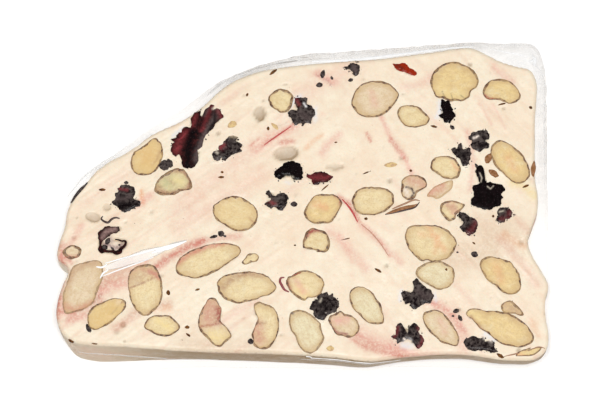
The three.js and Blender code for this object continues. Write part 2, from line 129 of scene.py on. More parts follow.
# Streaks in the nougat: ink, strength, half width in mm, and the photograph pixels that each follows
STREAKS = (
    ("flush", 0.5, 3.0, 104, 284, 115, 277, 127, 268),
    ("rose", 0.5, 1.5, 58, 318, 60, 300, 65, 264, 62, 246),
    ("rose", 0.4, 1.2, 70, 319, 90, 313, 103, 300),
    ("flush", 0.4, 1.5, 118, 327, 134, 313, 150, 305, 170, 303),
    ("rose", 0.45, 0.7, 347, 334, 362, 345, 380, 351, 404, 355, 430, 357),
    ("pink", 0.35, 2.5, 352, 330, 372, 338, 400, 348),
    ("rose", 0.7, 0.5, 264, 145, 270, 140, 280, 133.5, 292, 125),
    ("pink", 0.45, 1.5, 255, 150, 270, 138, 295, 126),
    ("rose", 0.55, 0.9, 281, 142, 293, 141),
    ("rose", 0.65, 0.5, 367, 133, 371, 141),
    ("pink", 0.6, 0.8, 380, 113, 386, 126, 392, 140),
    ("rose", 0.6, 0.9, 391, 139, 399, 150, 406, 159),
    ("pink", 0.6, 0.7, 405, 158, 412, 174),
    ("rose", 0.7, 0.7, 338, 197, 349, 203, 354, 212, 359, 222),
    ("rose", 0.5, 0.38, 361, 224, 370, 230, 380, 241, 389, 256),
    ("pink", 0.45, 1.2, 362, 226, 378, 240, 400, 262),
    ("pink", 0.4, 1.7, 330, 231, 350, 250, 366, 268),
    ("rose", 0.7, 1.5, 157, 266, 170, 257, 185, 248, 203, 241),
    ("rose", 0.4, 1.0, 200, 242, 220, 238, 240, 236),
    ("pink", 0.55, 2.0, 96, 293, 112, 286, 130, 282, 146, 262),
    ("rust", 0.5, 0.5, 72, 312, 84, 309, 94, 302, 102, 294),
    ("rose", 0.45, 1.6, 352, 330, 364, 340, 382, 347, 402, 353),
    ("pink", 0.45, 1.6, 390, 345, 420, 354, 455, 356),
    ("rose", 0.45, 1.0, 426, 300, 440, 305, 452, 314, 464, 330),
    ("pink", 0.45, 2.2, 430, 300, 455, 318, 462, 345),
    ("orange", 0.6, 0.8, 141, 191, 142, 202),
    ("pink", 0.4, 1.2, 138, 205, 150, 196),
    ("orange", 0.4, 0.9, 306, 148, 314, 140, 322, 135),
    ("pink", 0.45, 1.3, 322, 152, 332, 140, 340, 134),
    ("orange", 0.35, 1.4, 503, 234, 512, 240, 522, 246),
    ("yellow", 0.5, 1.5, 512, 182, 524, 186, 534, 196),
    ("pink", 0.4, 0.9, 468, 130, 474, 160, 470, 190),
    ("pink", 0.35, 0.5, 480, 103, 486, 112, 492, 124),
    ("pink", 0.3, 0.5, 494, 104, 500, 115, 506, 128),
    ("pink", 0.25, 4.0, 180, 205, 215, 178, 262, 142, 300, 118),
    ("pink", 0.25, 3.0, 300, 95, 322, 82, 350, 66),
    ("pink", 0.25, 3.2, 180, 226, 225, 200, 262, 176),
    ("rose", 0.5, 0.8, 59, 266, 66, 254, 72, 262),
    ("pink", 0.45, 1.2, 62, 258, 72, 243, 82, 226),
    ("rose", 0.45, 0.9, 58, 300, 62, 310, 76, 313),
    ("pink", 0.35, 1.5, 60, 296, 66, 314, 90, 318),
    ("orange", 0.3, 1.1, 150, 309, 170, 307),
    ("pink", 0.3, 1.4, 212, 330, 235, 312, 258, 300),
    ("pink", 0.35, 0.7, 338, 234, 346, 246, 352, 262),
    ("pink", 0.3, 1.6, 500, 240, 520, 262, 536, 284),
    ("pink", 0.3, 1.5, 438, 74, 420, 84, 405, 86),
    ("pink", 0.35, 1.6, 496, 66, 506, 76, 514, 82),
    ("orange", 0.3, 1.3, 530, 320, 536, 335),
    ("rose", 0.4, 0.35, 180, 260, 181, 266, 186, 268),
    ("rose", 0.5, 0.5, 250, 146, 258, 139),
    ("wine", 0.5, 0.5, 318, 74, 328, 80, 330, 84),
    ("pink", 0.5, 1.3, 318, 72, 334, 82),
    ("tan", 0.22, 5, 190, 345, 260, 352),
    ("tan", 0.2, 6, 486, 226, 522, 236),
    ("tan", 0.25, 5, 440, 262, 490, 252),
    ("dusk", 0.8, 0.9, 105, 244, 111, 246, 116, 248, 122, 245),
    ("dusk", 0.5, 0.9, 110, 238, 112, 241),
    # Painted glints of light on the film where it rises over the berries
    ("film_glint", 0.8, 0.9, 441, 101, 441, 109, 438, 116),
    ("film_glint", 0.8, 0.8, 290, 106, 294, 100, 300, 95),
    ("film_glint", 0.7, 0.7, 316, 107, 315, 121),
    ("film_glint", 0.8, 1.0, 402, 344, 410, 345),
    ("film_glint", 0.7, 0.7, 399, 300, 401, 290),
    ("film_glint", 0.7, 0.6, 434, 291, 435, 300),
    ("film_glint", 0.8, 0.9, 484, 333, 492, 338),
    ("film_glint", 0.6, 0.6, 286, 182, 290, 183),
    ("film_glint", 0.7, 0.8, 172, 136, 182, 128),
)

# Smears of nougat and skin over the cut almonds, in the same way
VEILS = (
    ("rose", 0.6, 0.9, 177, 263, 190, 254, 206, 247, 230, 242),
    ("brown", 0.5, 1.3, 224, 287, 231, 279, 244, 274, 262, 274),
    ("tan", 0.6, 1.4, 68, 285, 74, 272, 84, 264, 96, 262),
    ("rose", 0.4, 1.2, 66, 306, 78, 309, 92, 302),
    ("tan", 0.55, 1.9, 134, 280, 146, 273, 156, 271),
    ("brown", 0.7, 0.3, 130, 288, 142, 283, 158, 276),
    ("rose", 0.5, 1.0, 150, 270, 160, 277),
    ("dark", 0.6, 0.25, 113, 313, 117, 309, 119, 305),
    ("pale", 0.5, 0.9, 119, 302, 125, 303),
    ("tan", 0.55, 1.1, 150, 314, 163, 310, 176, 314),
    ("flush", 0.75, 2.8, 209, 303, 209, 316),
    ("rust", 0.75, 1.2, 219, 320, 220, 308),
    ("rust", 0.6, 0.4, 200, 326, 212, 324, 224, 321),
    ("yellow", 0.6, 2.2, 213, 335, 222, 336),
    ("flush", 0.7, 2.4, 257, 325, 260, 337),
    ("brown", 0.5, 0.5, 255, 322, 266, 322),
    ("dark", 0.6, 0.35, 289, 311, 293, 313),
    ("wine", 0.6, 0.5, 331, 326, 338, 332, 347, 333),
    ("pink", 0.6, 1.5, 336, 320, 346, 318),
    ("flush", 0.6, 1.8, 411, 180, 419, 181, 423, 185),
    ("pale", 0.6, 0.9, 406, 190, 407, 195),
    ("dark", 0.8, 0.4, 406, 187, 412, 189, 414, 193, 411, 198),
    ("yellow", 0.4, 1.8, 440, 90, 452, 96, 464, 95),
    ("dark", 0.5, 0.2, 443, 91, 446, 97),
    ("dark", 0.5, 0.2, 452, 93, 454, 100),
    ("dark", 0.4, 0.2, 462, 95, 466, 98),
    ("yellow", 0.5, 1.3, 469, 311, 475, 316),
    ("yellow", 0.7, 1.6, 299, 288, 304, 296),
    ("orange", 0.45, 1.3, 316, 204, 326, 208),
    ("rust", 0.8, 0.45, 336, 196, 341, 200, 340, 204),
    ("brown", 0.6, 0.3, 249, 217, 254, 223, 257, 229),
    ("rust", 0.85, 0.8, 307, 235, 311, 231, 318, 230),
    ("brown", 0.6, 0.5, 304, 240, 306, 235),
    ("rust", 0.6, 0.7, 287, 281, 290, 288),
    ("pink", 0.5, 1.2, 297, 281, 303, 291),
    ("pink", 0.35, 1.3, 372, 92, 376, 104),
    ("orange", 0.45, 1.9, 146, 152, 147, 160),
    ("brown", 0.6, 0.5, 151, 166, 156, 160, 159, 152),
    ("rust", 0.8, 0.5, 486, 95, 490, 98, 497, 99, 503, 103),
    ("orange", 0.3, 1.5, 508, 158, 516, 170),
    ("pink", 0.5, 1.4, 450, 204, 456, 212),
    ("rose", 0.6, 0.9, 68, 257, 77, 257),
    ("rose", 0.45, 1.8, 430, 193, 442, 186),
    ("orange", 0.3, 1.0, 420, 234, 438, 236, 434, 252),
    ("orange", 0.3, 1.6, 496, 266, 500, 280),
    ("brown", 0.7, 0.5, 470, 316, 475, 323, 482, 330),
    ("pink", 0.35, 1.3, 440, 320, 444, 330),
    ("olive", 0.6, 3.4, 164, 182, 182, 182),
    ("brown", 0.35, 0.6, 166, 178, 174, 184),
    ("brown", 0.6, 0.9, 156, 190, 168, 194, 184, 190, 191, 183),
    ("brown", 0.5, 0.7, 160, 178, 172, 171, 184, 172),
    ("honey", 0.85, 3.4, 146, 150, 148, 165),
    ("olive", 0.45, 1.1, 164, 176, 170, 190),
    ("yellow", 0.5, 1.2, 176, 180, 182, 182),
    ("brown", 0.8, 0.45, 156, 181, 160, 174, 168, 168.5, 176, 168.5, 184, 173, 190, 181, 188, 188),
    ("brown", 0.5, 0.7, 158, 186, 164, 192, 176, 193),
    ("brown", 0.35, 1.1, 447, 206, 456, 208),
    ("flush", 0.5, 1.0, 127, 272, 140, 268, 150, 270),
    ("yellow", 0.6, 1.2, 157, 318, 172, 328),
    ("honey", 0.75, 3.2, 97, 320, 118, 306),
    ("honey", 0.35, 4.5, 225, 212, 245, 212),
    ("tan", 0.6, 2.0, 504, 304, 517, 312),
    ("orange", 0.4, 1.0, 444, 250, 428, 226),
    ("rust", 0.7, 0.4, 287, 273, 281, 278),
    ("brown", 0.55, 0.5, 270, 93, 276, 89),
    ("orange", 0.45, 0.6, 452, 162, 458, 170),
    ("orange", 0.4, 0.9, 496, 352, 520, 354),
)

# Outlines of the berries: the photograph pixels round each, x and y in turn
BERRY_OUTLINES = (
    (210, 104, 214, 105, 212, 109, 217, 108, 220, 110, 221, 113, 223, 117, 221, 118, 219, 118, 218, 120,
     216, 123, 214, 127, 211, 130, 209, 131, 207, 134, 205, 135, 204, 138, 203, 142, 201, 147,
     199, 149, 196, 150, 196, 153, 198, 156, 198, 161, 196, 164, 195, 166, 193, 168, 190, 168,
     187, 169, 184, 168, 182, 165, 181, 162, 182, 161, 181, 158, 179, 155, 177, 155, 175, 157,
     173, 155, 172, 153, 170, 151, 170, 148, 171, 145, 172, 143, 174, 142, 170, 139, 175, 138,
     176, 135, 179, 132, 181, 132, 183, 127, 186, 126, 189, 127, 191, 125, 191, 122, 190, 118,
     192, 114, 194, 112, 197, 110, 201, 110, 199, 112, 200, 115, 202, 117, 203, 114, 204, 110,
     206, 108, 209, 106),
    (229, 136, 231, 135, 234, 135, 238, 137, 236, 139, 237, 141, 241, 143, 242, 145, 241, 148,
     241, 151, 237, 153, 234, 154, 231, 156, 227, 158, 225, 160, 222, 158, 221, 157, 219, 160,
     217, 161, 214, 160, 212, 156, 212, 153, 214, 151, 217, 151, 219, 152, 218, 149, 219, 146,
     222, 144, 224, 141, 226, 139),
    (295, 98, 299, 97, 303, 97, 307, 98, 307, 103, 311, 105, 314, 109, 315, 114, 312, 118,
     311, 123, 306, 123, 303, 126, 301, 123, 296, 125, 293, 123, 291, 119, 289, 115, 288, 111,
     292, 109, 296, 111, 298, 107, 295, 103),
    (118, 189, 121, 185, 127, 185, 132, 186, 135, 190, 135, 193, 134, 199, 140, 201, 140, 205,
     136, 207, 132, 209, 127, 212, 121, 211, 118, 208, 112, 203, 112, 201, 115, 199, 115, 194,
     118, 192),
    (275, 176, 275, 171, 280, 167, 285, 162, 291, 161, 296, 162, 301, 166, 303, 171, 302, 178,
     298, 180, 293, 179, 292, 176, 287, 176, 283, 176, 281, 179, 277, 178),
    (307, 174, 311, 175, 316, 172, 323, 172, 328, 174, 333, 177, 329, 181, 323, 183, 315, 185,
     312, 183, 311, 179, 307, 177),
    (345, 66, 348, 65, 351, 62, 356, 62, 360, 65, 360, 69, 358, 74, 354, 74, 353, 71, 349, 68,
     347, 68),
    (394, 63, 399, 63, 404, 62, 408, 64, 410, 67, 415, 69, 418, 73, 415, 75, 411, 74, 407, 72,
     403, 71, 398, 69, 396, 67),
    (441, 103, 443, 99, 447, 100, 451, 102, 453, 107, 455, 112, 457, 115, 455, 118, 453, 119,
     451, 123, 447, 122, 445, 121, 442, 118, 439, 115, 443, 113, 442, 108),
    (469, 139, 472, 133, 478, 131, 482, 130, 487, 130, 491, 135, 490, 139, 487, 139, 486, 141,
     490, 144, 488, 148, 483, 150, 479, 151, 473, 148, 471, 144, 473, 140),
    (451, 149, 454, 147, 457, 148, 459, 144, 462, 143, 463, 149, 467, 149, 469, 147, 471, 150, 471, 157,
     469, 164, 466, 166, 463, 165, 461, 161, 459, 158, 455, 155, 453, 152),
    (473, 186, 479, 184, 479, 180, 476, 171, 478, 166, 483, 166, 485, 174, 486, 182, 491, 182,
     497, 184, 503, 185, 505, 190, 502, 194, 503, 197, 501, 202, 500, 206, 495, 207,
     490, 210, 483, 209, 477, 207, 471, 204, 471, 199, 474, 196, 473, 190),
    (498, 210, 501, 208, 506, 207, 511, 210, 512, 215, 509, 218, 506, 219, 504, 222, 499, 223, 496, 220,
     497, 215),
    (457, 215, 460, 212, 465, 213, 469, 216, 473, 218, 477, 221, 477, 228, 474, 233, 469, 235,
     465, 233, 461, 230, 459, 227, 463, 224, 462, 220, 459, 217),
    (269, 190, 270, 194, 275, 196, 280, 193, 285, 193, 288, 198, 287, 204, 283, 210, 279, 210,
     275, 207, 271, 208, 266, 206, 265, 203, 271, 200, 269, 196, 266, 194),
    (318, 299, 317, 296, 321, 293, 326, 292, 329, 295, 332, 293, 334, 296, 336, 299, 339, 302,
     338, 308, 335, 311, 331, 313, 327, 315, 323, 319, 319, 318, 315, 317, 313, 314, 313, 310,
     310, 308, 311, 304, 315, 299),
    (412, 281, 417, 279, 421, 283, 424, 285, 429, 289, 431, 292, 433, 296, 429, 302, 424, 303,
     421, 304, 417, 307, 412, 308, 409, 305, 410, 302, 405, 303, 402, 299, 401, 294, 402, 291,
     404, 290, 406, 293, 410, 292, 412, 290, 414, 286),
    (395, 329, 397, 324, 401, 323, 403, 327, 404, 331, 407, 331, 408, 326, 413, 322,
     416, 323, 419, 328, 418, 331, 422, 335, 423, 340, 421, 344, 417, 348, 415, 345, 412, 340,
     409, 339, 406, 338, 403, 340, 399, 341, 396, 343, 396, 339, 391, 336, 392, 334, 394, 334),
    (464, 338, 468, 336, 473, 335, 479, 338, 482, 335, 484, 340, 489, 339, 493, 341, 492, 345,
     496, 350, 491, 351, 487, 350, 482, 349, 477, 349, 472, 349, 466, 348, 464, 345, 463, 342),
)

# Outlines of the almonds by their numbers, in the same way; the others follow their solids
ALMOND_OUTLINES = {
    2: (154, 189, 158, 180, 164, 174, 173, 169, 182, 169, 188, 175, 192, 183, 190, 189, 182, 191, 176, 194, 170, 195,
        162, 195, 156, 193),
    3: (268, 99, 270, 94, 275, 90, 281, 88, 288, 90, 293, 95, 293, 101, 291, 107, 287, 111, 281, 112, 275, 109,
        270, 105),
    4: (352, 101, 354, 93, 360, 85, 368, 81, 378, 80, 388, 82, 394, 86, 399, 93, 397, 101, 392, 107, 386, 113,
        379, 116, 370, 117, 361, 115, 355, 110, 352, 105),
    5: (431, 81, 433, 74, 438, 67, 445, 63, 452, 61, 459, 61, 466, 64, 473, 68, 478, 74, 480, 80, 478, 86, 474, 89,
        472, 91, 471, 96, 467, 99, 462, 101, 456, 100, 451, 101, 444, 98, 437, 96, 434, 90, 432, 85),
    6: (398, 112, 400, 107, 406, 105, 413, 105, 420, 107, 426, 113, 430, 118, 427, 124, 421, 126, 413, 127, 406, 126,
        402, 122, 399, 117),
    7: (484, 92, 486, 85, 491, 80, 500, 78, 508, 79, 515, 83, 520, 89, 522, 96, 518, 101, 511, 103, 504, 101,
        498, 99, 491, 99, 486, 97),
    8: (491, 150, 493, 145, 499, 140, 507, 142, 515, 147, 522, 153, 527, 161, 530, 168, 530, 176, 526, 181, 519, 184,
        512, 181, 504, 174, 498, 169, 494, 164, 492, 157),
    9: (431, 164, 433, 159, 440, 156, 448, 156, 455, 158, 459, 164, 461, 170, 459, 177, 452, 179, 444, 178, 436, 173,
        431, 169),
    10: (401, 189, 402, 181, 407, 176, 415, 175, 423, 177, 427, 182, 426, 187, 421, 190, 417, 193, 415, 198,
         409, 200, 404, 198, 401, 193),
    11: (352, 203, 353, 196, 358, 190, 366, 187, 375, 187, 385, 188, 391, 192, 394, 197, 393, 204, 387, 210,
         379, 214, 370, 215, 360, 214, 355, 210),
    12: (304, 212, 306, 207, 310, 201, 314, 196, 320, 194, 328, 194, 335, 195, 340, 199, 342, 204, 339, 210,
         335, 218, 330, 223, 323, 223, 316, 224, 311, 222, 306, 218),
    13: (213, 211, 214, 205, 220, 201, 228, 197, 237, 196, 245, 199, 252, 204, 257, 210, 258, 216, 256, 223,
         251, 228, 244, 231, 236, 231, 229, 228, 223, 224, 217, 220, 214, 215),
    14: (303, 247, 303, 241, 305, 235, 307, 231, 312, 228, 317, 229, 324, 231, 328, 236, 330, 243, 329, 248,
         327, 251, 322, 252, 315, 250, 309, 249, 304, 248),
    15: (176, 267, 180, 258, 190, 251, 200, 247, 211, 244, 219, 243, 228, 243, 236, 245, 240, 248, 241, 251,
         238, 256, 232, 260, 227, 264, 220, 269, 213, 273, 205, 276, 197, 278, 190, 277, 179, 274),
    16: (218, 286, 218, 281, 223, 276, 231, 273, 241, 272, 251, 271, 261, 273, 268, 276, 272, 280, 276, 285,
         275, 290, 270, 294, 262, 296, 256, 299, 247, 301, 239, 303, 232, 301, 226, 299, 222, 295, 219, 291),
    17: (288, 277, 292, 275, 297, 272, 303, 270, 311, 271, 317, 274, 322, 278, 324, 284, 322, 290, 319, 295,
         313, 297, 308, 297, 305, 300, 301, 299, 296, 296, 291, 291, 288, 287, 286, 282),
    18: (86, 262, 95, 260, 102, 262, 104, 270, 104, 276, 101, 285, 98, 293, 95, 301, 90, 306, 81, 310, 70, 313,
         66, 311, 64, 303, 64, 294, 67, 285, 69, 278, 73, 268, 79, 264),
    19: (130, 273, 135, 267, 142, 265, 150, 264, 156, 267, 161, 275, 163, 285, 163, 296, 159, 306, 153, 312,
         147, 315, 141, 313, 135, 307, 131, 298, 129, 285),
    20: (89, 319, 90, 311, 96, 305, 104, 301, 113, 298, 121, 298, 127, 301, 126, 308, 120, 314, 112, 322, 104, 326,
         96, 329, 91, 326),
    21: (145, 325, 148, 319, 154, 315, 162, 314, 171, 315, 177, 320, 181, 326, 176, 332, 168, 335, 159, 334,
         151, 330, 147, 328),
    22: (213, 297, 217, 299, 220, 305, 222, 309, 221, 317, 223, 322, 227, 326, 230, 330, 232, 335, 229, 339,
         225, 342, 222, 345, 218, 345, 213, 342, 208, 337, 203, 332, 200, 328, 199, 322, 200, 314, 203, 308,
         206, 303, 209, 298),
    23: (259, 301, 265, 303, 271, 305, 276, 310, 279, 319, 279, 327, 278, 333, 274, 341, 270, 346, 265, 348,
         259, 347, 254, 344, 254, 340, 252, 334, 254, 328, 256, 322, 258, 317, 256, 312, 254, 306, 255, 303),
    24: (290, 314, 292, 311, 298, 309, 305, 310, 308, 312, 313, 315, 318, 320, 321, 324, 322, 331, 324, 337,
         322, 342, 319, 347, 315, 350, 310, 352, 304, 350, 300, 346, 297, 341, 295, 335, 291, 329, 289, 322),
    25: (328, 318, 330, 315, 334, 313, 340, 310, 345, 313, 350, 314, 355, 318, 358, 322, 359, 328, 356, 333,
         352, 336, 348, 337, 342, 335, 336, 333, 333, 328, 329, 322),
    26: (349, 295, 350, 291, 354, 287, 361, 286, 367, 288, 372, 292, 376, 298, 380, 303, 382, 310, 383, 316,
         383, 321, 380, 323, 373, 323, 368, 322, 363, 318, 358, 313, 353, 308, 350, 301),
    27: (405, 236, 406, 231, 408, 227, 414, 225, 423, 225, 431, 225, 438, 226, 446, 229, 451, 234, 455, 239,
         456, 244, 453, 252, 449, 257, 442, 260, 435, 262, 427, 260, 422, 261, 417, 258, 412, 253, 408, 248,
         406, 243),
    28: (415, 273, 417, 268, 422, 264, 428, 262, 436, 260, 444, 262, 450, 266, 454, 271, 454, 277, 451, 284,
         445, 288, 437, 289, 431, 286, 424, 282, 418, 278),
    29: (479, 263, 482, 259, 488, 256, 496, 257, 503, 259, 509, 261, 514, 267, 518, 273, 520, 281, 519, 289,
         515, 293, 509, 294, 502, 292, 495, 286, 488, 281, 483, 275, 480, 268),
    30: (422, 317, 423, 312, 428, 310, 435, 309, 441, 311, 447, 317, 452, 324, 456, 331, 458, 337, 457, 343,
         454, 345, 447, 343, 440, 341, 435, 336, 429, 331, 424, 324),
    31: (465, 312, 469, 308, 477, 308, 484, 310, 492, 310, 501, 311, 509, 313, 516, 317, 523, 322, 528, 328,
         532, 335, 531, 341, 526, 344, 519, 346, 510, 345, 501, 343, 493, 338, 486, 332, 478, 327, 474, 322,
         470, 317, 466, 315),
    32: (500, 308, 500, 304, 504, 301, 509, 300, 514, 303, 518, 307, 521, 311, 522, 314, 519, 315, 514, 313,
         507, 313, 502, 311),
    33: (440, 209, 441, 204, 447, 201, 455, 201, 461, 203, 465, 205, 460, 211, 456, 215, 455, 219, 449, 221,
         444, 217, 441, 213),
    34: (63, 252, 66, 248, 72, 245, 78, 246, 82, 250, 80, 256, 75, 258, 70, 259, 66, 256),
    35: (242, 262, 245, 258, 248, 254, 254, 253, 257, 254, 259, 257, 257, 261, 252, 262, 247, 264, 244, 264),
    37: (427, 196, 432, 189, 440, 184, 448, 181, 453, 181, 452, 188, 448, 192, 443, 196, 437, 199, 432, 197),
}

# Almonds whose brown rim is fainter, or wider and more wavy, than the usual, by their numbers
RIMS = {2: 1.5, 3: 1.2, 5: 1.2, 10: 1.3, 14: 1.3, 18: 0.6, 24: 0.7, 25: 1.2, 28: 0.8, 32: 1.2, 33: 1.2,
        34: 1.5, 37: 0.2}

# Lighter and redder marks on the berries; the pale, grey and film glint ones are painted glints of light
BERRY_MARKS = (
    ("wine", 0.4, 1.4, 176, 152, 178, 144, 184, 134),
    ("wine", 0.6, 0.5, 176, 149, 180, 147),
    ("wine", 0.6, 0.4, 179, 140, 182, 137, 188, 130),
    ("wine", 0.4, 0.8, 192, 126, 195, 116),
    ("ash", 0.5, 0.5, 204, 116, 208, 108),
    ("wine", 0.3, 0.9, 202, 130, 206, 118, 211, 106),
    ("ash", 0.75, 1.1, 196, 160, 200, 144, 206, 131, 214, 118, 217, 110),
    ("wine", 0.4, 0.5, 200, 131, 204, 128),
    ("black", 0.9, 1.5, 192, 132, 188, 146, 187, 166),
    ("black", 0.85, 0.6, 215, 110, 214, 122, 209, 130),
    ("wine", 0.4, 0.9, 218, 110, 221, 117),
    ("pale", 0.9, 0.3, 212.5, 108.5, 215, 106.5),
    ("grey", 0.9, 0.4, 216.3, 152.3, 217.5, 153),
    ("wine", 0.6, 0.8, 220, 148, 223, 145),
    ("hollow", 0.6, 0.6, 230, 135.5, 236, 136.5),
    ("pale", 0.8, 0.45, 474.5, 138, 479, 136),
    ("grey", 0.8, 0.2, 487.5, 186.5, 490.5, 189, 493.5, 186),
    ("grey", 0.8, 0.2, 480, 173, 482, 178, 481, 182),
    ("grey", 0.8, 0.25, 499, 212, 503, 211),
    ("black", 0.7, 1.2, 470, 228, 468, 232),
    ("wine", 0.3, 0.9, 468, 233, 472, 229, 475, 223),
    ("wine", 0.3, 0.8, 501, 219, 507, 219, 510, 212),
    ("dark", 0.45, 0.7, 397, 64, 403, 68),
    ("pale", 0.7, 0.2, 325.5, 312, 326, 312),
    ("black", 0.6, 1.6, 318, 304, 330, 306, 322, 312),
    ("black", 0.5, 1.2, 456, 150, 464, 158),
    ("grey", 0.7, 0.3, 320, 301, 321.5, 298),
    ("ash", 0.5, 0.9, 418, 290, 426, 298, 430, 294),
    ("wine", 0.4, 0.6, 397, 327, 394, 335),
    ("wine", 0.4, 0.6, 418, 327, 422, 338, 418, 346),
    ("film_glint", 0.75, 0.8, 404, 342, 408, 340),
    ("pale", 0.9, 0.3, 403, 337.5, 404, 338.5),
    ("pale", 0.8, 0.7, 483, 336, 489, 339),
    ("dusk", 0.95, 0.7, 103, 238, 107, 232, 116, 229.5),
    ("wine", 0.5, 0.5, 120, 189, 127, 190),
    ("ash", 0.6, 0.8, 117, 199, 124, 200, 130, 196),
    ("black", 0.8, 1.4, 121, 206, 132, 206),
    ("wine", 0.5, 0.8, 268, 200, 274, 204),
    ("wine", 0.5, 0.7, 296, 99, 299, 104),
    ("film_glint", 0.8, 0.4, 304, 103, 306, 106),
    ("ash", 0.5, 1.2, 300, 112, 308, 118),
    ("ash", 0.8, 0.8, 353, 65, 356, 70),
    ("black", 0.6, 0.8, 346, 66, 350, 66),
    ("wine", 0.5, 1.1, 310, 177, 322, 178, 329, 177),
    ("grey", 0.6, 0.4, 286, 176.5, 293, 177),
)

# Darker and redder berries than the usual dark grey ones, by their numbers
BLACK_BERRIES = (5, 9, 12)
MAROON_BERRIES = (1, 6)

# Almonds whose flesh is more golden or more rosy than the usual cream, by their numbers
GOLDEN_ALMONDS = (1, 5, 7, 8, 12, 20, 29, 31, 32, 36)
ROSY_ALMONDS = (4, 10, 18, 22, 25, 30, 34, 37)
PALE_ALMONDS = (24, 26, 28)

# Hollows that air left in the face: middle in photograph pixels, length, width, depth in mm, turn
DENTS = (
    ((259.5, 113), 4.2, 5.4, 1.0, 8),
    ((93, 217), 5.4, 3.4, 0.8, -15),
    ((107, 207), 2.8, 2.6, 0.6, 0),
    ((286, 153), 8.8, 5.4, 1.0, 5),
    ((335, 166.5), 6.6, 2.4, 0.6, 0),
)

# Bits let into the face: kind, middle in photograph pixels, length and width in mm, turn in degrees
BITS = (
    ("flesh", (232, 124), 3.4, 2.2, 30), ("flesh", (391, 164.5), 4.1, 1.7, 5), ("husk", (402, 209), 10.5, 1.5, 17),
    ("flesh", (275, 126), 3.2, 1.2, -42), ("flesh", (330, 347), 2.4, 1.8, 0), ("flesh", (124, 303), 1.6, 2.0, 30),
    ("husk", (489, 158), 2.2, 3.6, -25), ("husk", (494, 173), 3.6, 2.0, -35), ("husk", (533.5, 169), 1.7, 5.4, -8),
    ("skin", (503, 103.5), 2.6, 0.6, 15), ("skin", (367, 172.3), 2.8, 0.5, 22), ("skin", (273, 71), 2.9, 0.9, 38),
    ("skin", (325, 187.5), 3.2, 0.5, 42), ("skin", (346, 238.7), 3.3, 0.4, 14), ("skin", (378, 270), 2.6, 0.9, -30),
    ("skin", (320, 251), 2.4, 0.5, 5), ("skin", (473.5, 243), 1.2, 0.6, -35), ("skin", (493, 216), 0.8, 0.9, 0),
    ("skin", (169, 292), 1.3, 1.7, 10), ("skin", (198, 289), 1.6, 0.7, 20), ("skin", (189.5, 334), 2.0, 0.7, -38),
    ("skin", (188, 326), 1.5, 1.1, 0), ("skin", (434, 126), 2.4, 0.8, -10), ("skin", (102, 189.5), 2.2, 0.9, 0),
    ("skin", (221, 177), 1.9, 0.8, 5), ("skin", (336, 142), 1.0, 0.5, 10), ("skin", (295, 245), 0.8, 0.6, 0),
    ("skin", (532, 107), 1.2, 1.0, -30), ("skin", (247, 94), 0.7, 1.2, -25), ("skin", (73, 339), 2.0, 1.2, -25),
    ("skin", (96, 342), 1.9, 0.6, -10), ("skin", (498.5, 354), 2.6, 1.2, -30), ("skin", (366, 218.5), 1.2, 1.0, 0),
    ("skin", (446, 269), 1.0, 1.1, 0), ("skin", (222, 172), 1.0, 0.8, 0), ("skin", (411, 170.5), 0.9, 0.8, 0),
    ("skin", (268, 128), 0.9, 1.3, 0), ("skin", (526, 186), 2.4, 0.8, 25),
    ("berry", (319.5, 84), 2.2, 1.7, 15), ("berry", (323, 73), 1.6, 3.0, -15), ("berry", (332, 77), 0.9, 1.4, 25),
    ("berry", (351, 79), 1.6, 1.2, 20), ("berry", (453, 127), 1.7, 1.3, -40), ("berry", (474, 254), 2.3, 2.0, -25),
    ("berry", (164, 165), 3.4, 3.4, 0), ("berry", (169, 163), 2.2, 3.0, 20), ("berry", (79, 192.5), 8.2, 1.6, 51),
    ("berry", (214, 236.5), 2.8, 1.1, 15), ("berry", (221, 233.5), 2.0, 2.2, 60), ("berry", (225, 236), 1.0, 0.7, 0),
    ("berry", (90, 327), 1.5, 3.2, 25), ("berry", (294, 204), 2.2, 1.8, 0), ("berry", (455, 310), 2.0, 1.4, 20),
    ("berry", (459, 317), 1.2, 2.2, 25), ("berry", (452, 315), 0.9, 0.7, 0), ("berry", (251, 340), 1.9, 1.9, 0),
    ("berry", (448, 118), 1.4, 1.0, 30), ("berry", (269, 205), 1.6, 1.3, 0), ("berry", (457, 252), 0.8, 0.6, 0),
    ("berry", (477, 166), 2.0, 1.0, -60), ("berry", (341, 60), 1.9, 0.5, 5), ("berry", (358, 61), 1.2, 0.6, 0),
    ("berry", (126, 182.5), 1.4, 1.1, 0), ("berry", (108.2, 241), 1.6, 2.4, -25),
    ("berry", (104.6, 247.3), 2.6, 1.8, 20), ("berry", (113, 248.4), 1.6, 0.7, -45),
    ("berry", (119.8, 244.7), 0.7, 0.6, 0), ("berry", (486, 347), 3.0, 1.2, -15),
)

# Thin skins that show edge on: ink, half width in mm, and the photograph pixels that each follows
SKINS = (
    ("dark", 0.38, 103, 216, 101.3, 218.5, 104, 221, 108, 222.5, 112, 219, 116, 217.5, 120, 218.5),
    ("dark", 0.3, 385, 214.5, 392, 213, 405, 210, 416, 206.5, 419.5, 202),
    ("brown", 0.3, 420, 201, 417, 200, 404, 204, 392, 209),
    ("red", 0.22, 264, 145, 270, 140.5, 280, 133.5, 291, 126),
    ("red", 0.3, 342, 199, 349, 207, 353, 213, 357.5, 222),
    ("flush", 0.18, 361, 224, 370, 231.5, 380, 243, 388.5, 256),
    ("wine", 0.42, 284.5, 277, 281, 277.5, 280, 280.5, 282, 285, 284.5, 289, 289, 291.5),
    ("rust", 0.3, 292, 276, 298, 273.5, 303.5, 272),
    ("brown", 0.25, 502, 355, 512.7, 352.6, 526.7, 349.4, 538, 345.6, 543, 347),
    ("brown", 0.16, 120, 310, 116, 311, 111, 315),
)
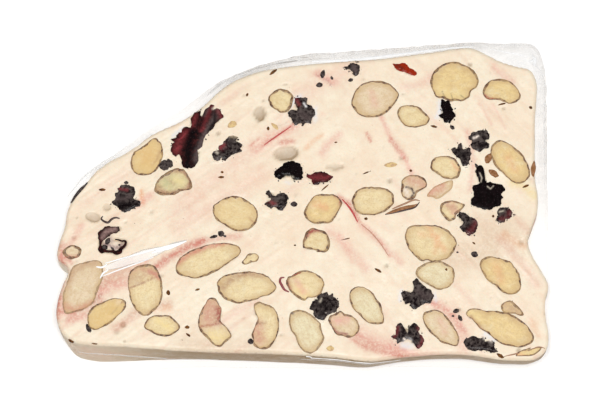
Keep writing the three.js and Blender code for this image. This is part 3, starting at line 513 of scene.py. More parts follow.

# Creases in the film, whose brightness paints their light: near 1 a painted highlight, lower a painted grey shade;
# then opacity, half widths in mm at both ends and in the middle, height in mm, and the photograph pixels that each
# follows
CREASES = (
    # The first rows paint the white glare of a crease that lies on the cut face, with a grey line at its tip
    (1.0, 0.9, 0.12, 0.3, FACE, 106, 263, 120, 259, 138, 254, 152, 250, 168, 246, 187, 241),
    (1.0, 0.85, 0.1, 0.6, FACE, 152, 253, 162, 249.5, 172, 246.5, 187, 241),
    (1.0, 0.3, 0.6, 1.6, FACE, 106, 268, 125, 262, 145, 255, 165, 248.5),
    (1.0, 0.9, 0.1, 0.28, FACE, 97, 266.5, 103, 267, 108, 264),
    (1.0, 0.9, 0.1, 0.3, FACE, 101, 278, 104, 273, 109, 269.5),
    (1.0, 0.7, 0.1, 0.24, FACE, 103, 276, 120, 269.5, 138, 263, 154, 257),
    (0.45, 0.7, 0.1, 0.2, FACE, 170, 244, 178, 242, 187, 240),
    (0.5, 0.4, 0.2, 0.7, 17, 225, 79, 243, 75, 262, 70, 280, 66, 297, 63),
    (0.3, 0.6, 0.15, 0.5, 17.5, 276, 66.5, 290, 64, 299, 62.5),
    (0.6, 0.3, 0.3, 0.8, 15, 240, 70, 262, 63, 280, 58, 296, 54),
    (0.3, 0.5, 0.15, 0.3, 16.5, 297, 52, 303, 56, 309, 60),
    (0.6, 0.35, 0.15, 0.4, 17, 209, 99, 215, 89, 222, 80),
    (0.65, 0.35, 0.15, 0.4, 17, 214, 99, 219, 91, 226, 82),
    (0.4, 0.4, 0.1, 0.2, 18, 299, 62, 312, 60, 330, 60),
    (1.0, 0.5, 0.15, 0.35, 16, 490, 55, 510, 55, 532, 56),
    (1.0, 0.8, 0.3, 0.6, 18.9, 312, 61, 350, 60.5, 380, 56.5, 420, 51, 455, 47.5, 474, 46.5),
    (0.8, 0.3, 0.4, 1.1, 14, 310, 53, 360, 49, 430, 45, 520, 43),
    (1.0, 0.7, 0.2, 0.7, 17, 536, 66, 540, 54, 544, 42),
    (1.0, 0.6, 0.2, 0.6, 17, 530, 62, 536, 58, 545, 55),
    (0.9, 0.6, 0.2, 0.4, 16, 532, 68, 541, 70, 547, 76),
    (0.8, 0.3, 0.15, 0.5, 14, 539, 80, 540, 120, 540, 160, 539, 190),
    (0.8, 0.3, 0.1, 0.4, 9, 546, 66, 546.5, 120, 546, 180, 545, 240),
    (0.85, 0.3, 0.2, 0.6, 16, 72, 200, 84, 186, 104, 168, 128, 148),
    (1.0, 0.8, 0.12, 0.28, 18.5, 306, 354, 330, 357, 360, 359.5, 400, 360),
    (0.5, 0.5, 0.12, 0.35, 17, 300, 356, 330, 359, 360, 361, 396, 361),
    (0.7, 0.3, 0.1, 0.3, 15, 80, 345, 130, 349, 190, 355, 250, 357),
)

# The curled berry: half width in mm at each photograph pixel of its middle line
CURLED_BERRY = (
    ((119.7, 228.6), 0.75), ((114.5, 229.6), 1.15), ((109.1, 230.4), 1.45), ((105.3, 232.8), 1.7),
    ((102.8, 235.4), 1.6), ((101.8, 238.2), 1.2), ((101.1, 241.4), 0.55), ((100.9, 244.8), 0.36),
    ((101.1, 247.9), 0.75), ((101.8, 250.4), 0.85), ((105.3, 250.5), 0.5), ((109.1, 251.1), 0.4),
    ((113, 251.1), 0.45), ((116.4, 252.6), 0.62), ((119.9, 251.3), 0.78), ((121.4, 248.6), 0.6),
    ((124.4, 246.3), 0.45), ((126.1, 243.5), 0.4), ((125.4, 240.8), 0.38), ((122.2, 240.8), 0.28),
    ((118.7, 239.6), 0.28), ((115.6, 239.3), 0.2),
)

# Shares of the way from the middle of an inlay to its rim, where its top has rings
ALMOND_SHARES = (0.1, 0.2, 0.3, 0.4, 0.5, 0.6, 0.7, 0.8, 0.88, 0.94)
BERRY_SHARES = tuple(np.linspace(0.06, 1.0, 17))

NOISE_CELLS = 48


def unit(length, low=0.0, high=None, **kept):
    """Settings that every length property shares."""
    return dict(default=length * MM, min=low, soft_max=high or 4 * length * MM, unit="LENGTH", precision=5, **kept)


def paint(colour, label, text):
    """Colour property with its default as the photograph shows it."""
    return FloatVectorProperty(name=label, description=text, default=seen(*colour), size=3, min=0, max=1,
                               subtype="COLOR")


class NougatSettings(bpy.types.PropertyGroup):
    """Sizes and colours of the nougat itself."""

    cream: paint((252, 232, 205), "Cream", "Colour of most of the nougat")
    light: paint((255, 242, 217), "Light", "Colour where the nougat is smoothest")
    warm: paint((245, 214, 184), "Warm", "Colour of the small warm mottles")
    # Painted shade: the darker colour that the cut sides are given, as in the shade
    side: paint((160, 128, 82), "Side", "Colour of the cut sides")
    # Painted shade: the colour given down in the dents and pits
    hollow: paint((168, 142, 110), "Hollow", "Colour down in dents and pits")
    relief: FloatProperty(name="Relief", description="Height of the knife's drag marks", **unit(0.06))
    pit_depth: FloatProperty(name="Pit depth", description="Depth of the deepest small pits", **unit(0.4))
    pits: IntProperty(name="Pits", description="How many small pits the face has", default=170, min=0)
    seed: IntProperty(name="Seed", description="Seed of everything random in the nougat", default=7, min=0)


class AlmondSettings(bpy.types.PropertyGroup):
    """Sizes and colours of the cut almonds."""

    cream: paint((248, 227, 176), "Cream flesh", "Colour of most cut almonds")
    golden: paint((244, 215, 150), "Golden flesh", "Colour of the golden ones")
    rosy: paint((240, 217, 182), "Rosy flesh", "Colour of the rosy ones")
    pale: paint((243, 230, 190), "Pale flesh", "Colour of the palest, greenish ones")
    vein: paint((210, 174, 120), "Vein", "Colour of the veins and fibres in the flesh")
    skin: paint((130, 86, 44), "Skin", "Colour of the thin brown skin")
    skin_dark: paint((74, 42, 24), "Dark skin", "Colour of the skin where it is thickest")
    skin_width: FloatProperty(name="Skin width", description="Width of the skin in the cut", **unit(0.5))
    ripple: FloatProperty(name="Ripple", description="How far the rim waves in and out", **unit(0.12))
    proud: FloatProperty(name="Proud", description="How far the skin's rim stands over the face", **unit(0.07))
    side_spacing: FloatProperty(name="Spacing on the sides", description="Least distance between the pieces "
                                "that show in the sides and the underside", **unit(15))


class BerrySettings(bpy.types.PropertyGroup):
    """Sizes and colours of the dried berries."""

    grey: paint((95, 85, 81), "Grey", "Colour of the usual berries")
    # Painted shade: the deep colour lies down in the wrinkles, and also makes the berries' darker patches
    deep: paint((24, 14, 16), "Deep", "Colour down in their wrinkles")
    black: paint((9, 4, 4), "Black", "Colour of the black berries")
    maroon: paint((78, 34, 32), "Maroon", "Colour of the redder berries")
    red: paint((160, 46, 20), "Red", "Colour of the one red piece")
    crown: FloatProperty(name="Crown", description="How far a berry stands over the face", **unit(0.32))
    wrinkle: FloatProperty(name="Wrinkle", description="Depth of the wrinkles", **unit(0.2))
    ragged: FloatProperty(name="Ragged", description="How far the outline juts in and out", **unit(0.3))
    crumbs: IntProperty(name="Crumbs", description="How many crumbs lie round each berry", default=14, min=0)


class FilmSettings(bpy.types.PropertyGroup):
    """Sizes and looks of the clear film."""

    lift: FloatProperty(name="Lift", description="How far the film lies over the face", **unit(0.2))
    pleat: FloatProperty(name="Pleat", description="Depth of the pleats in its margin", **unit(0.2))
    clear: FloatProperty(name="Clear", description="Share of light that one layer lets through", default=0.99,
                         min=0, max=1, subtype="FACTOR")
    # Grey layer where the film is gathered: part the film's own cloudiness, part painted shade
    haze_and_shade: FloatProperty(name="Haze", description="How cloudy the film is where it is gathered", default=0.2,
                        min=0, max=1, subtype="FACTOR")


class StageSettings(bpy.types.PropertyGroup):
    """The floor, the lights and the camera."""

    distance: FloatProperty(name="Camera distance", description="From the camera to the face",
                            default=1.1, min=0.2, unit="LENGTH")
    key: FloatProperty(name="Key light", description="Power of the large soft light over the camera",
                       default=72, min=0, unit="POWER")
    sky: FloatProperty(name="Surroundings", description="Brightness of the surroundings", default=0.37, min=0)
    floor: FloatVectorProperty(name="Floor", description="Colour of the floor", default=(0.97, 0.97, 0.97),
                               size=3, min=0, max=1, subtype="COLOR")


# Plan geometry

def at_photo(pixels, height=FACE):
    """Plan points in mm whose picture at a height is at these photograph pixels."""
    plan = (np.reshape(pixels, (-1, 2)) - PHOTO_MIDDLE) * (1, -1) / PIXELS_PER_MM
    return plan + (0, (FACE - height) / math.tan(CAMERA_RISE))


def corners(node):
    """A solid's corners in mm, without repeats."""
    mesh = frame["nodes"][node].data
    flat = np.empty(len(mesh.vertices) * 3)
    mesh.vertices.foreach_get("co", flat)
    return np.unique(np.round(flat.reshape(-1, 3) / MM, 3), axis=0)


def in_order(points, middle=(0, 0)):
    """Plan points sorted anticlockwise round a middle."""
    offset = points - middle
    return points[np.argsort(np.arctan2(offset[:, 1], offset[:, 0]))]


def ring(node, height):
    """A solid's corners at one height, in order round the plan's middle."""
    found = corners(node)
    return in_order(found[np.abs(found[:, 2] - height) < 0.02][:, :2])


def even(line, count, closed):
    """Evenly spaced points along a line, which may close on itself."""
    if closed:
        line = np.vstack([line, line[:1]])
    lengths = np.concatenate([[0], np.cumsum(np.linalg.norm(np.diff(line, axis=0), axis=1))])
    places = np.linspace(0, lengths[-1], count, endpoint=not closed)
    return np.stack([np.interp(places, lengths, line[:, axis]) for axis in range(line.shape[1])], axis=1)


def smooth_loop(points, count):
    """Evenly spaced points on a smooth closed curve through the given ones."""
    before, here, after, beyond = (np.roll(points, shift, axis=0) for shift in (1, 0, -1, -2))
    share = np.linspace(0, 1, 24, endpoint=False)[:, None, None]
    bend = 2 * before - 5 * here + 4 * after - beyond
    twist = 3 * here - before - 3 * after + beyond
    curve = here + share * ((after - before) + share * (bend + share * twist)) / 2
    return even(curve.transpose(1, 0, 2).reshape(-1, points.shape[1]), count, closed=True)


def smooth_line(points, count):
    """Evenly spaced points on a smooth open curve through the given ones."""
    points = np.asarray(points, float)
    if len(points) < 3:
        return even(points, count, closed=False)
    lengths = np.concatenate([[0], np.cumsum(np.linalg.norm(np.diff(points, axis=0), axis=1))])
    slopes = np.gradient(points, lengths, axis=0)
    places = np.linspace(0, lengths[-1], count)
    leg = np.clip(np.searchsorted(lengths, places, side="right") - 1, 0, len(points) - 2)
    span = (lengths[leg + 1] - lengths[leg])[:, None]
    share = (places - lengths[leg])[:, None] / span
    start, end = points[leg], points[leg + 1]
    keep = 2 * share ** 3 - 3 * share ** 2
    return (start * (keep + 1) - end * keep + span * slopes[leg] * (share - 2 * share ** 2 + share ** 3)
            + span * slopes[leg + 1] * (share ** 3 - share ** 2))


def reach(loop, angles, middle=(0, 0)):
    """Distance from a middle to a loop, at the given angles."""
    offset = loop - middle
    return np.interp(angles, np.arctan2(offset[:, 1], offset[:, 0]), np.hypot(*offset.T), period=TURN)


def share_in(plan, loop, middle):
    """How far plan points are on the way from a middle to a loop round it, 1 on the loop."""
    offset = plan - middle
    return np.hypot(*offset.T) / reach(loop, np.arctan2(offset[:, 1], offset[:, 0]), middle)


def cloud(points, size, seed):
    """Smooth noise from -1 to 1 at points in mm, with bumps about as wide as the size."""
    lattice = np.random.default_rng(seed).uniform(-1, 1, (NOISE_CELLS,) * 3)
    place = np.asarray(points) / size + 100
    base = np.floor(place).astype(int)
    share = place - base
    share = share * share * (3 - 2 * share)
    total = np.zeros(len(place))
    for corner in itertools.product((0, 1), repeat=3):
        weight = np.prod(np.where(corner, share, 1 - share), axis=1)
        cell = (base + corner) % NOISE_CELLS
        total += weight * lattice[cell[:, 0], cell[:, 1], cell[:, 2]]
    return total


def flat_cloud(plan, size, seed):
    """Noise over plan points."""
    return cloud(np.column_stack([plan, np.zeros(len(plan))]), size, seed)


def fade(values, low, high):
    """Smooth step from 0 at low to 1 at high."""
    share = np.clip((values - low) / (high - low), 0, 1)
    return share * share * (3 - 2 * share)


def off_line(plan, line):
    """Distance of plan points from a line."""
    nearest = np.full(len(plan), np.inf)
    for start, end in zip(line, line[1:]):
        span = end - start
        share = np.clip((plan - start) @ span / max(span @ span, 1e-9), 0, 1)
        nearest = np.minimum(nearest, np.hypot(*(plan - start - share[:, None] * span).T))
    return nearest


def stains(plan, marks):
    """Colour and opacity, as four numbers a point, that marks leave on plan points."""
    ragged = 1 + 0.25 * flat_cloud(plan, 2.1, 51) + 0.15 * flat_cloud(plan, 0.9, 52)
    colour = np.zeros((len(plan), 3))
    cover = np.zeros(len(plan))
    for ink, strength, half, *pixels in marks:
        share = strength * np.exp(-(off_line(plan, at_photo(pixels)) * ragged / half) ** 2)
        colour += share[:, None] * (np.array(INKS[ink]) - colour)
        cover = 1 - (1 - cover) * (1 - share)
    return np.column_stack([colour / np.maximum(cover, 1e-6)[:, None], cover])


# The slab's and the film's outlines, read from the film's solid, which follows the slab all round

def inset(loop, distance):
    """A loop moved inwards."""
    run = np.roll(loop, -1, axis=0) - np.roll(loop, 1, axis=0)
    normal = np.column_stack([run[:, 1], -run[:, 0]]) / np.hypot(*run.T)[:, None]
    return loop - normal * distance


RIM = inset(smooth_loop(ring("film_wrap", SIDE_TOP), 960), FILM_GAP)
FOOT = inset(smooth_loop(ring("film_wrap", SIDE_FOOT), 960), FILM_GAP)
FILM_FOOT = smooth_loop(ring("film_wrap", 1.5), 720)

# Where the slab's foot draws in along its front: the angle, how wide, and how far in mm
DRAWN_IN = ((-2.52, 0.3, 1.5), (-1.02, 0.2, 0.9), (-0.6, 0.16, 0.6))

RIM_WIDTH = 1.1
RIM_DROP = FACE - SIDE_TOP
FOOT_ROUND = 0.8
BULGE = 0.35


def from_rim(plan):
    """Distance of plan points from the slab's rim."""
    tree = kdtree.KDTree(len(RIM))
    for index, (x, y) in enumerate(RIM):
        tree.insert((x, y, 0), index)
    tree.balance()
    return np.array([tree.find((x, y, 0))[2] for x, y in plan])


def face_height(plan):
    """Height of the cut face over plan points: slightly wavy, and rounded off at the rim."""
    fall = np.clip(1 - from_rim(plan) / RIM_WIDTH, 0, 1)
    waves = 0.12 * flat_cloud(plan, 13, 1) + 0.06 * flat_cloud(plan, 5, 2)
    return FACE - 0.1 - RIM_DROP * (1 - np.sqrt(1 - fall ** 2)) + waves * (1 - fall)


def side_reach(angles, heights):
    """Distance of the slab's side from the plan's middle."""
    share = np.clip((heights - SIDE_FOOT) / (SIDE_TOP - SIDE_FOOT), 0, 1)
    level = reach(FOOT, angles) * (1 - share) + reach(RIM, angles) * share
    swell = BULGE * (1 - (2 * share - 1) ** 2)
    for angle, wide, deep in DRAWN_IN:
        swell = swell - deep * np.exp(-((angles - angle) / wide) ** 2) * (1 - share)
    under = np.clip(1 - heights / SIDE_FOOT, 0, 1)
    return level + swell - FOOT_ROUND * (1 - np.sqrt(1 - under ** 2))


def around(angles, radii, heights):
    """Points round the plan's middle."""
    return np.column_stack([radii * np.cos(angles), radii * np.sin(angles), np.broadcast_to(heights, radii.shape)])


# Meshes

def strip(first, second, size):
    """Faces between two closed rings of corners, the outer or upper ring first."""
    near = np.arange(size)
    far = np.roll(near, -1)
    return np.column_stack([first + near, second + near, second + far, first + far]).tolist()


def shell(rings):
    """Corners and faces of a closed body through rings, from a point in its top to a point underneath."""
    size = len(rings[1])
    starts = np.cumsum([0] + [len(part) for part in rings])
    faces = [(0, 1 + k, 1 + (k + 1) % size) for k in range(size)]
    for first, second in zip(starts[1:-3], starts[2:-2]):
        faces += strip(first, second, size)
    last = starts[-3]
    faces += [(last + k, starts[-2], last + (k + 1) % size) for k in range(size)]
    return np.vstack(rings), faces


def new_piece(name, points, faces, material, numbers=None, colours=None, uv=None):
    """Smooth mesh object from points in mm, with number and colour attributes on its corners."""
    mesh = bpy.data.meshes.new(name)
    mesh.from_pydata((np.asarray(points) * MM).tolist(), [], faces)
    for label, values in (numbers or {}).items():
        mesh.attributes.new(label, "FLOAT", "POINT").data.foreach_set("value", np.asarray(values, float))
    for label, values in (colours or {}).items():
        mesh.attributes.new(label, "FLOAT_COLOR", "POINT").data.foreach_set("color", np.ravel(values))
    if uv is not None:
        loops = np.empty(len(mesh.loops), int)
        mesh.loops.foreach_get("vertex_index", loops)
        mesh.uv_layers.new(name="plan").data.foreach_set("uv", np.ravel(uv[loops]))
    mesh.shade_smooth()
    mesh.materials.append(material)
    piece = bpy.data.objects.new(name, mesh)
    bpy.context.scene.collection.objects.link(piece)
    return piece


def settle(piece, slot, *nodes):
    """Place a finished piece on the bar's body, instead of its solids; its slot is not used."""
    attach(piece, "root")
    if nodes:
        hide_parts(*nodes)


def node_names(kind):
    """Names of the solids of one kind, in order."""
    return sorted(name for name in frame["nodes"] if name.startswith(kind + "_"))


# Node trees

def plug(tree, socket, value):
    """Feed an input from another node, or give it a plain value."""
    if isinstance(value, bpy.types.NodeSocket):
        tree.links.new(value, socket)
    elif socket.type == "RGBA" and len(value) == 3:
        socket.default_value = (*value, 1)
    else:
        socket.default_value = value


def node(tree, kind, inputs=None, **settings):
    """New node with its settings and inputs."""
    made = tree.nodes.new(kind)
    for label, value in settings.items():
        setattr(made, label, value)
    for label, value in (inputs or {}).items():
        plug(tree, made.inputs[label], value)
    return made


def math_node(tree, operation, first, second):
    """Sum, product or other result of two numbers."""
    return node(tree, "ShaderNodeMath", {0: first, 1: second}, operation=operation).outputs[0]


def mixed(tree, share, first, second):
    """Colour between two colours."""
    return node(tree, "ShaderNodeMix", {0: share, 6: first, 7: second}, data_type="RGBA").outputs[2]


def group(name, kind, sockets):
    """New node group with named sockets, and its input and output nodes."""
    tree = bpy.data.node_groups.new(name, kind)
    for label, way, what in sockets:
        tree.interface.new_socket(label, in_out=way, socket_type="NodeSocket" + what)
    return tree, node(tree, "NodeGroupInput").outputs, node(tree, "NodeGroupOutput").inputs


def shared(name, build):
    """The shader group of this name, built the first time that it is asked for."""
    return bpy.data.node_groups.get(name) or build(name)


def mottle_group(name):
    """Soft patches: 0 and 1 over the surface, about as wide as Size in mm, between two thresholds."""
    tree, given, result = group(name, "ShaderNodeTree", (
        ("Place", "INPUT", "Vector"), ("Size", "INPUT", "Float"), ("Low", "INPUT", "Float"),
        ("High", "INPUT", "Float"), ("Mask", "OUTPUT", "Float"),
    ))
    zoom = math_node(tree, "DIVIDE", 1 / MM, given["Size"])
    place = node(tree, "ShaderNodeVectorMath", {0: given["Place"], "Scale": zoom}, operation="SCALE")
    noise = node(tree, "ShaderNodeTexNoise", {"Vector": place.outputs[0], "Scale": 1.0, "Detail": 3.0,
                                              "Roughness": 0.6})
    mask = node(tree, "ShaderNodeMapRange", {"Value": noise.outputs["Fac"], "From Min": given["Low"],
                                             "From Max": given["High"]})
    tree.links.new(mask.outputs[0], result["Mask"])
    return tree


def grain_group(name):
    """Fine relief: small bumps about as wide as Size in mm, with finer ones on them."""
    tree, given, result = group(name, "ShaderNodeTree", (
        ("Place", "INPUT", "Vector"), ("Size", "INPUT", "Float"), ("Height", "OUTPUT", "Float"),
    ))
    zoom = math_node(tree, "DIVIDE", 1 / MM, given["Size"])
    place = node(tree, "ShaderNodeVectorMath", {0: given["Place"], "Scale": zoom}, operation="SCALE")
    coarse = node(tree, "ShaderNodeTexNoise", {"Vector": place.outputs[0], "Scale": 1.0, "Detail": 4.0})
    cells = node(tree, "ShaderNodeTexVoronoi", {"Vector": place.outputs[0], "Scale": 0.7})
    pits = math_node(tree, "MULTIPLY", cells.outputs["Distance"], 0.35)
    tree.links.new(math_node(tree, "ADD", coarse.outputs["Fac"], pits), result["Height"])
    return tree


def stained_group(name):
    """A colour under the marks that are painted on the surface, broken up a little."""
    tree, given, result = group(name, "ShaderNodeTree", (
        ("Colour", "INPUT", "Color"), ("Place", "INPUT", "Vector"), ("Result", "OUTPUT", "Color"),
    ))
    marks = node(tree, "ShaderNodeAttribute", attribute_name="stain")
    patches = node(tree, "ShaderNodeGroup", node_tree=shared("Mottle", mottle_group))
    for label, value in (("Place", given["Place"]), ("Size", 0.7), ("Low", 0.34), ("High", 0.56)):
        plug(tree, patches.inputs[label], value)
    broken = node(tree, "ShaderNodeMapRange", {"Value": patches.outputs[0], "To Min": 0.6, "To Max": 1.35})
    share = node(tree, "ShaderNodeMath", {0: marks.outputs["Alpha"], 1: broken.outputs[0]}, operation="MULTIPLY",
                 use_clamp=True).outputs[0]
    tree.links.new(mixed(tree, share, given["Colour"], marks.outputs["Color"]), result["Result"])
    return tree


class Finish:
    """A material in the making, with short ways to the nodes that most finishes use."""

    def __init__(self, name):
        self.material = bpy.data.materials.new(name)
        self.material.use_nodes = True
        self.tree = self.material.node_tree
        self.tree.nodes.clear()
        self.out = node(self.tree, "ShaderNodeOutputMaterial")
        self.place = node(self.tree, "ShaderNodeTexCoord").outputs["Object"]

    def use(self, name, build, **inputs):
        made = node(self.tree, "ShaderNodeGroup", node_tree=shared(name, build))
        for label, value in inputs.items():
            plug(self.tree, made.inputs[label], value)
        return made.outputs[0]

    def mottle(self, size, low=0.35, high=0.65, place=None):
        return self.use("Mottle", mottle_group, Place=place or self.place, Size=size, Low=low, High=high)

    def amount(self, label, share=1.0):
        made = node(self.tree, "ShaderNodeAttribute", attribute_name=label)
        return math_node(self.tree, "MULTIPLY", made.outputs["Fac"], share)

    def times(self, first, second):
        return math_node(self.tree, "MULTIPLY", first, second)

    def blend(self, share, first, second):
        return mixed(self.tree, share, first, second)

    def stained(self, colour):
        return self.use("Stained", stained_group, Colour=colour, Place=self.place)

    def between(self, value, low, high):
        return node(self.tree, "ShaderNodeMapRange", {"Value": value, "To Min": low, "To Max": high}).outputs[0]

    def bump(self, size, depth, strength=1.0):
        height = self.use("Grain", grain_group, Place=self.place, Size=size)
        made = node(self.tree, "ShaderNodeBump", {"Height": height, "Distance": depth * MM, "Strength": strength})
        return made.outputs[0]

    def surface(self, **inputs):
        """Principled shader as the material's surface; a name's underscores stand for spaces."""
        shader = node(self.tree, "ShaderNodeBsdfPrincipled",
                      {label.replace("_", " "): value for label, value in inputs.items()})
        self.tree.links.new(shader.outputs[0], self.out.inputs["Surface"])
        return self.material


def nougat_finish(look):
    """Soft nougat: cream with lighter and warmer mottles and pink streaks, with painted shade on its sides and in
    its dents and pits.
    """
    finish = Finish("nougat_cream")
    colour = finish.blend(finish.mottle(16), look.cream, look.light)
    colour = finish.blend(finish.times(finish.mottle(3.2, 0.45, 0.75), 0.45), colour, look.warm)
    colour = finish.blend(finish.times(finish.mottle(0.9, 0.5, 0.7), 0.3), colour, look.warm)
    # Painted shade on the sides, as far as the tan attribute says
    colour = finish.blend(finish.amount("tan"), colour, look.side)
    # Painted shade: darker down in the dents and pits, the deeper the darker
    colour = finish.blend(finish.amount("hollow"), colour, look.hollow)
    return finish.surface(
        Base_Color=finish.stained(colour),
        Roughness=finish.between(finish.mottle(5), 0.42, 0.6),
        Normal=finish.bump(0.7, 0.05),
        Subsurface_Weight=0.15, Subsurface_Radius=(1.0, 0.7, 0.5), Subsurface_Scale=0.0015,
    )


def almond_finish(name, flesh, look):
    """Cut almond: pale flesh with fibres along it and a few veins, in a thin brown skin."""
    finish = Finish(name)
    tree = finish.tree
    plan = node(tree, "ShaderNodeUVMap", uv_map="plan").outputs[0]
    long_way = node(tree, "ShaderNodeMapping", {"Vector": plan, "Scale": (0.2, 1.0, 1.0)}).outputs[0]
    fibres = finish.mottle(0.9, 0.4, 0.75, place=long_way)
    colour = finish.blend(finish.times(fibres, 0.4), flesh, look.vein)
    colour = finish.blend(finish.times(finish.mottle(2.6, 0.5, 0.75), 0.45), colour, look.vein)
    colour = finish.blend(finish.times(finish.mottle(3.4, 0.5, 0.7), 0.45), colour, look.pale)
    colour = finish.blend(finish.times(finish.mottle(0.45, 0.5, 0.62), 0.35), colour, look.vein)
    bent = node(tree, "ShaderNodeTexNoise", {"Vector": finish.place, "Scale": 700.0}).outputs["Color"]
    warped = mixed(tree, 0.0012, finish.place, bent)
    veins = node(tree, "ShaderNodeTexVoronoi", {"Vector": warped, "Scale": 420.0}, feature="DISTANCE_TO_EDGE")
    thin = node(tree, "ShaderNodeMapRange", {"Value": veins.outputs["Distance"], "From Min": 0.0,
                                             "From Max": 0.05, "To Min": 0.65, "To Max": 0.0}).outputs[0]
    colour = finish.blend(finish.times(thin, finish.mottle(4, 0.5, 0.7)), colour, look.vein)
    colour = finish.blend(finish.amount("edge", 0.75), colour, look.vein)
    colour = finish.stained(colour)
    skin = finish.blend(finish.mottle(0.8, 0.45, 0.6), look.skin, look.skin_dark)
    skin_share = finish.times(finish.amount("skin"), finish.between(finish.mottle(1.6, 0.4, 0.6), 0.55, 1.0))
    return finish.surface(
        Base_Color=finish.blend(skin_share, colour, skin),
        Roughness=finish.between(finish.mottle(1.8), 0.45, 0.62),
        Normal=finish.bump(0.5, 0.04),
        Subsurface_Weight=0.1, Subsurface_Radius=(1.0, 0.8, 0.4), Subsurface_Scale=0.001,
    )


def berry_finish(name, colour, deep):
    """Dried berry: dark, wrinkled and a little glossy, painted darker down in its wrinkles and lighter on its
    ridges.
    """
    finish = Finish(name)
    base = finish.blend(finish.mottle(1.0, 0.4, 0.56), deep, colour)
    # Painted light and shade: lighter on the ridges, the deep colour down in the wrinkles
    base = finish.stained(finish.blend(finish.amount("ridge"), deep, base))
    return finish.surface(
        Base_Color=base,
        Roughness=finish.between(finish.mottle(1.1), 0.5, 0.8),
        Normal=finish.bump(0.45, 0.08),
        Specular_IOR_Level=0.03,
    )


def fleck_finish(name, first, second):
    """Small bits of nut or skin."""
    finish = Finish(name)
    return finish.surface(
        Base_Color=finish.blend(finish.mottle(1.0), first, second),
        Roughness=finish.between(finish.mottle(0.8), 0.5, 0.7),
        Normal=finish.bump(0.4, 0.04),
        Specular_IOR_Level=0.05,
    )


def painted_finish(name):
    """Thin skins that carry their own colour along their length."""
    finish = Finish(name)
    own = node(finish.tree, "ShaderNodeAttribute", attribute_name="ink").outputs["Color"]
    dull = finish.blend(0.35, own, INKS["dark"])
    return finish.surface(
        Base_Color=finish.blend(finish.times(finish.mottle(0.9), 0.5), own, dull),
        Roughness=finish.between(finish.mottle(0.8), 0.4, 0.6),
        Normal=finish.bump(0.4, 0.03),
    )


def film_finish(name, clear, brightness=1.0, opacity=0.0):
    """Clear film: see-through, with mirror-like gloss that grows at a slant. Where it is cloudy, on creases and
    gathered film, a diffuse layer paints highlights and shade.
    """
    finish = Finish(name)
    tree = finish.tree
    bump = finish.bump(2.5, 0.02)
    through = node(tree, "ShaderNodeBsdfTransparent", {"Color": (clear, clear, clear)})
    gloss = node(tree, "ShaderNodeBsdfGlossy", {"Color": (1, 1, 1), "Roughness": 0.12, "Normal": bump})
    fresnel = node(tree, "ShaderNodeFresnel", {"IOR": 1.12, "Normal": bump}).outputs[0]
    mirror = math_node(tree, "MULTIPLY", fresnel, 0.35)
    look = node(tree, "ShaderNodeMixShader", {0: mirror, 1: through.outputs[0], 2: gloss.outputs[0]})
    # Painted light and shade: a diffuse layer, white where the light attribute is 1 and a dark warm grey where it is
    # 0
    if opacity:
        own = finish.blend(finish.amount("light"), (0.3, 0.25, 0.19), (brightness,) * 3)
        haze_and_shade = node(tree, "ShaderNodeBsdfDiffuse", {"Color": own})
        share = finish.amount("cloudy", opacity)
        look = node(tree, "ShaderNodeMixShader", {0: share, 1: look.outputs[0], 2: haze_and_shade.outputs[0]})

    # The film takes no light from what lies under it
    rays = node(tree, "ShaderNodeLightPath").outputs
    unseen = math_node(tree, "MAXIMUM", rays["Is Shadow Ray"], rays["Is Diffuse Ray"])
    nothing = node(tree, "ShaderNodeBsdfTransparent", {"Color": (1, 1, 1)})
    last = node(tree, "ShaderNodeMixShader", {0: unseen, 1: look.outputs[0], 2: nothing.outputs[0]})
    tree.links.new(last.outputs[0], finish.out.inputs["Surface"])
    return finish.material


def geometry_group(name, sockets):
    """Geometry tree whose input carries the geometry first and the finish last."""
    return group(name, "GeometryNodeTree", (
        ("Geometry", "INPUT", "Geometry"), *sockets, ("Finish", "INPUT", "Material"),
        ("Geometry", "OUTPUT", "Geometry"),
    ))


def close_tree(tree, geometry, given, result):
    """Every tree ends by making its copies real and giving them their finish."""
    real = node(tree, "GeometryNodeRealizeInstances", {"Geometry": geometry})
    last = node(tree, "GeometryNodeSetMaterial", {"Geometry": real.outputs[0], "Material": given["Finish"]})
    tree.links.new(last.outputs[0], result["Geometry"])
    return tree


def named_value(tree, label, kind="FLOAT"):
    """A number or vector that the points carry."""
    return node(tree, "GeometryNodeInputNamedAttribute", {"Name": label}, data_type=kind).outputs["Attribute"]


def nearest_on(tree, surface, kind, value):
    """What a surface has at its point nearest to the geometry."""
    found = node(tree, "GeometryNodeSampleNearestSurface", {"Mesh": surface}, data_type=kind)
    tree.links.new(value, found.inputs["Value"])
    return found.outputs["Value"]


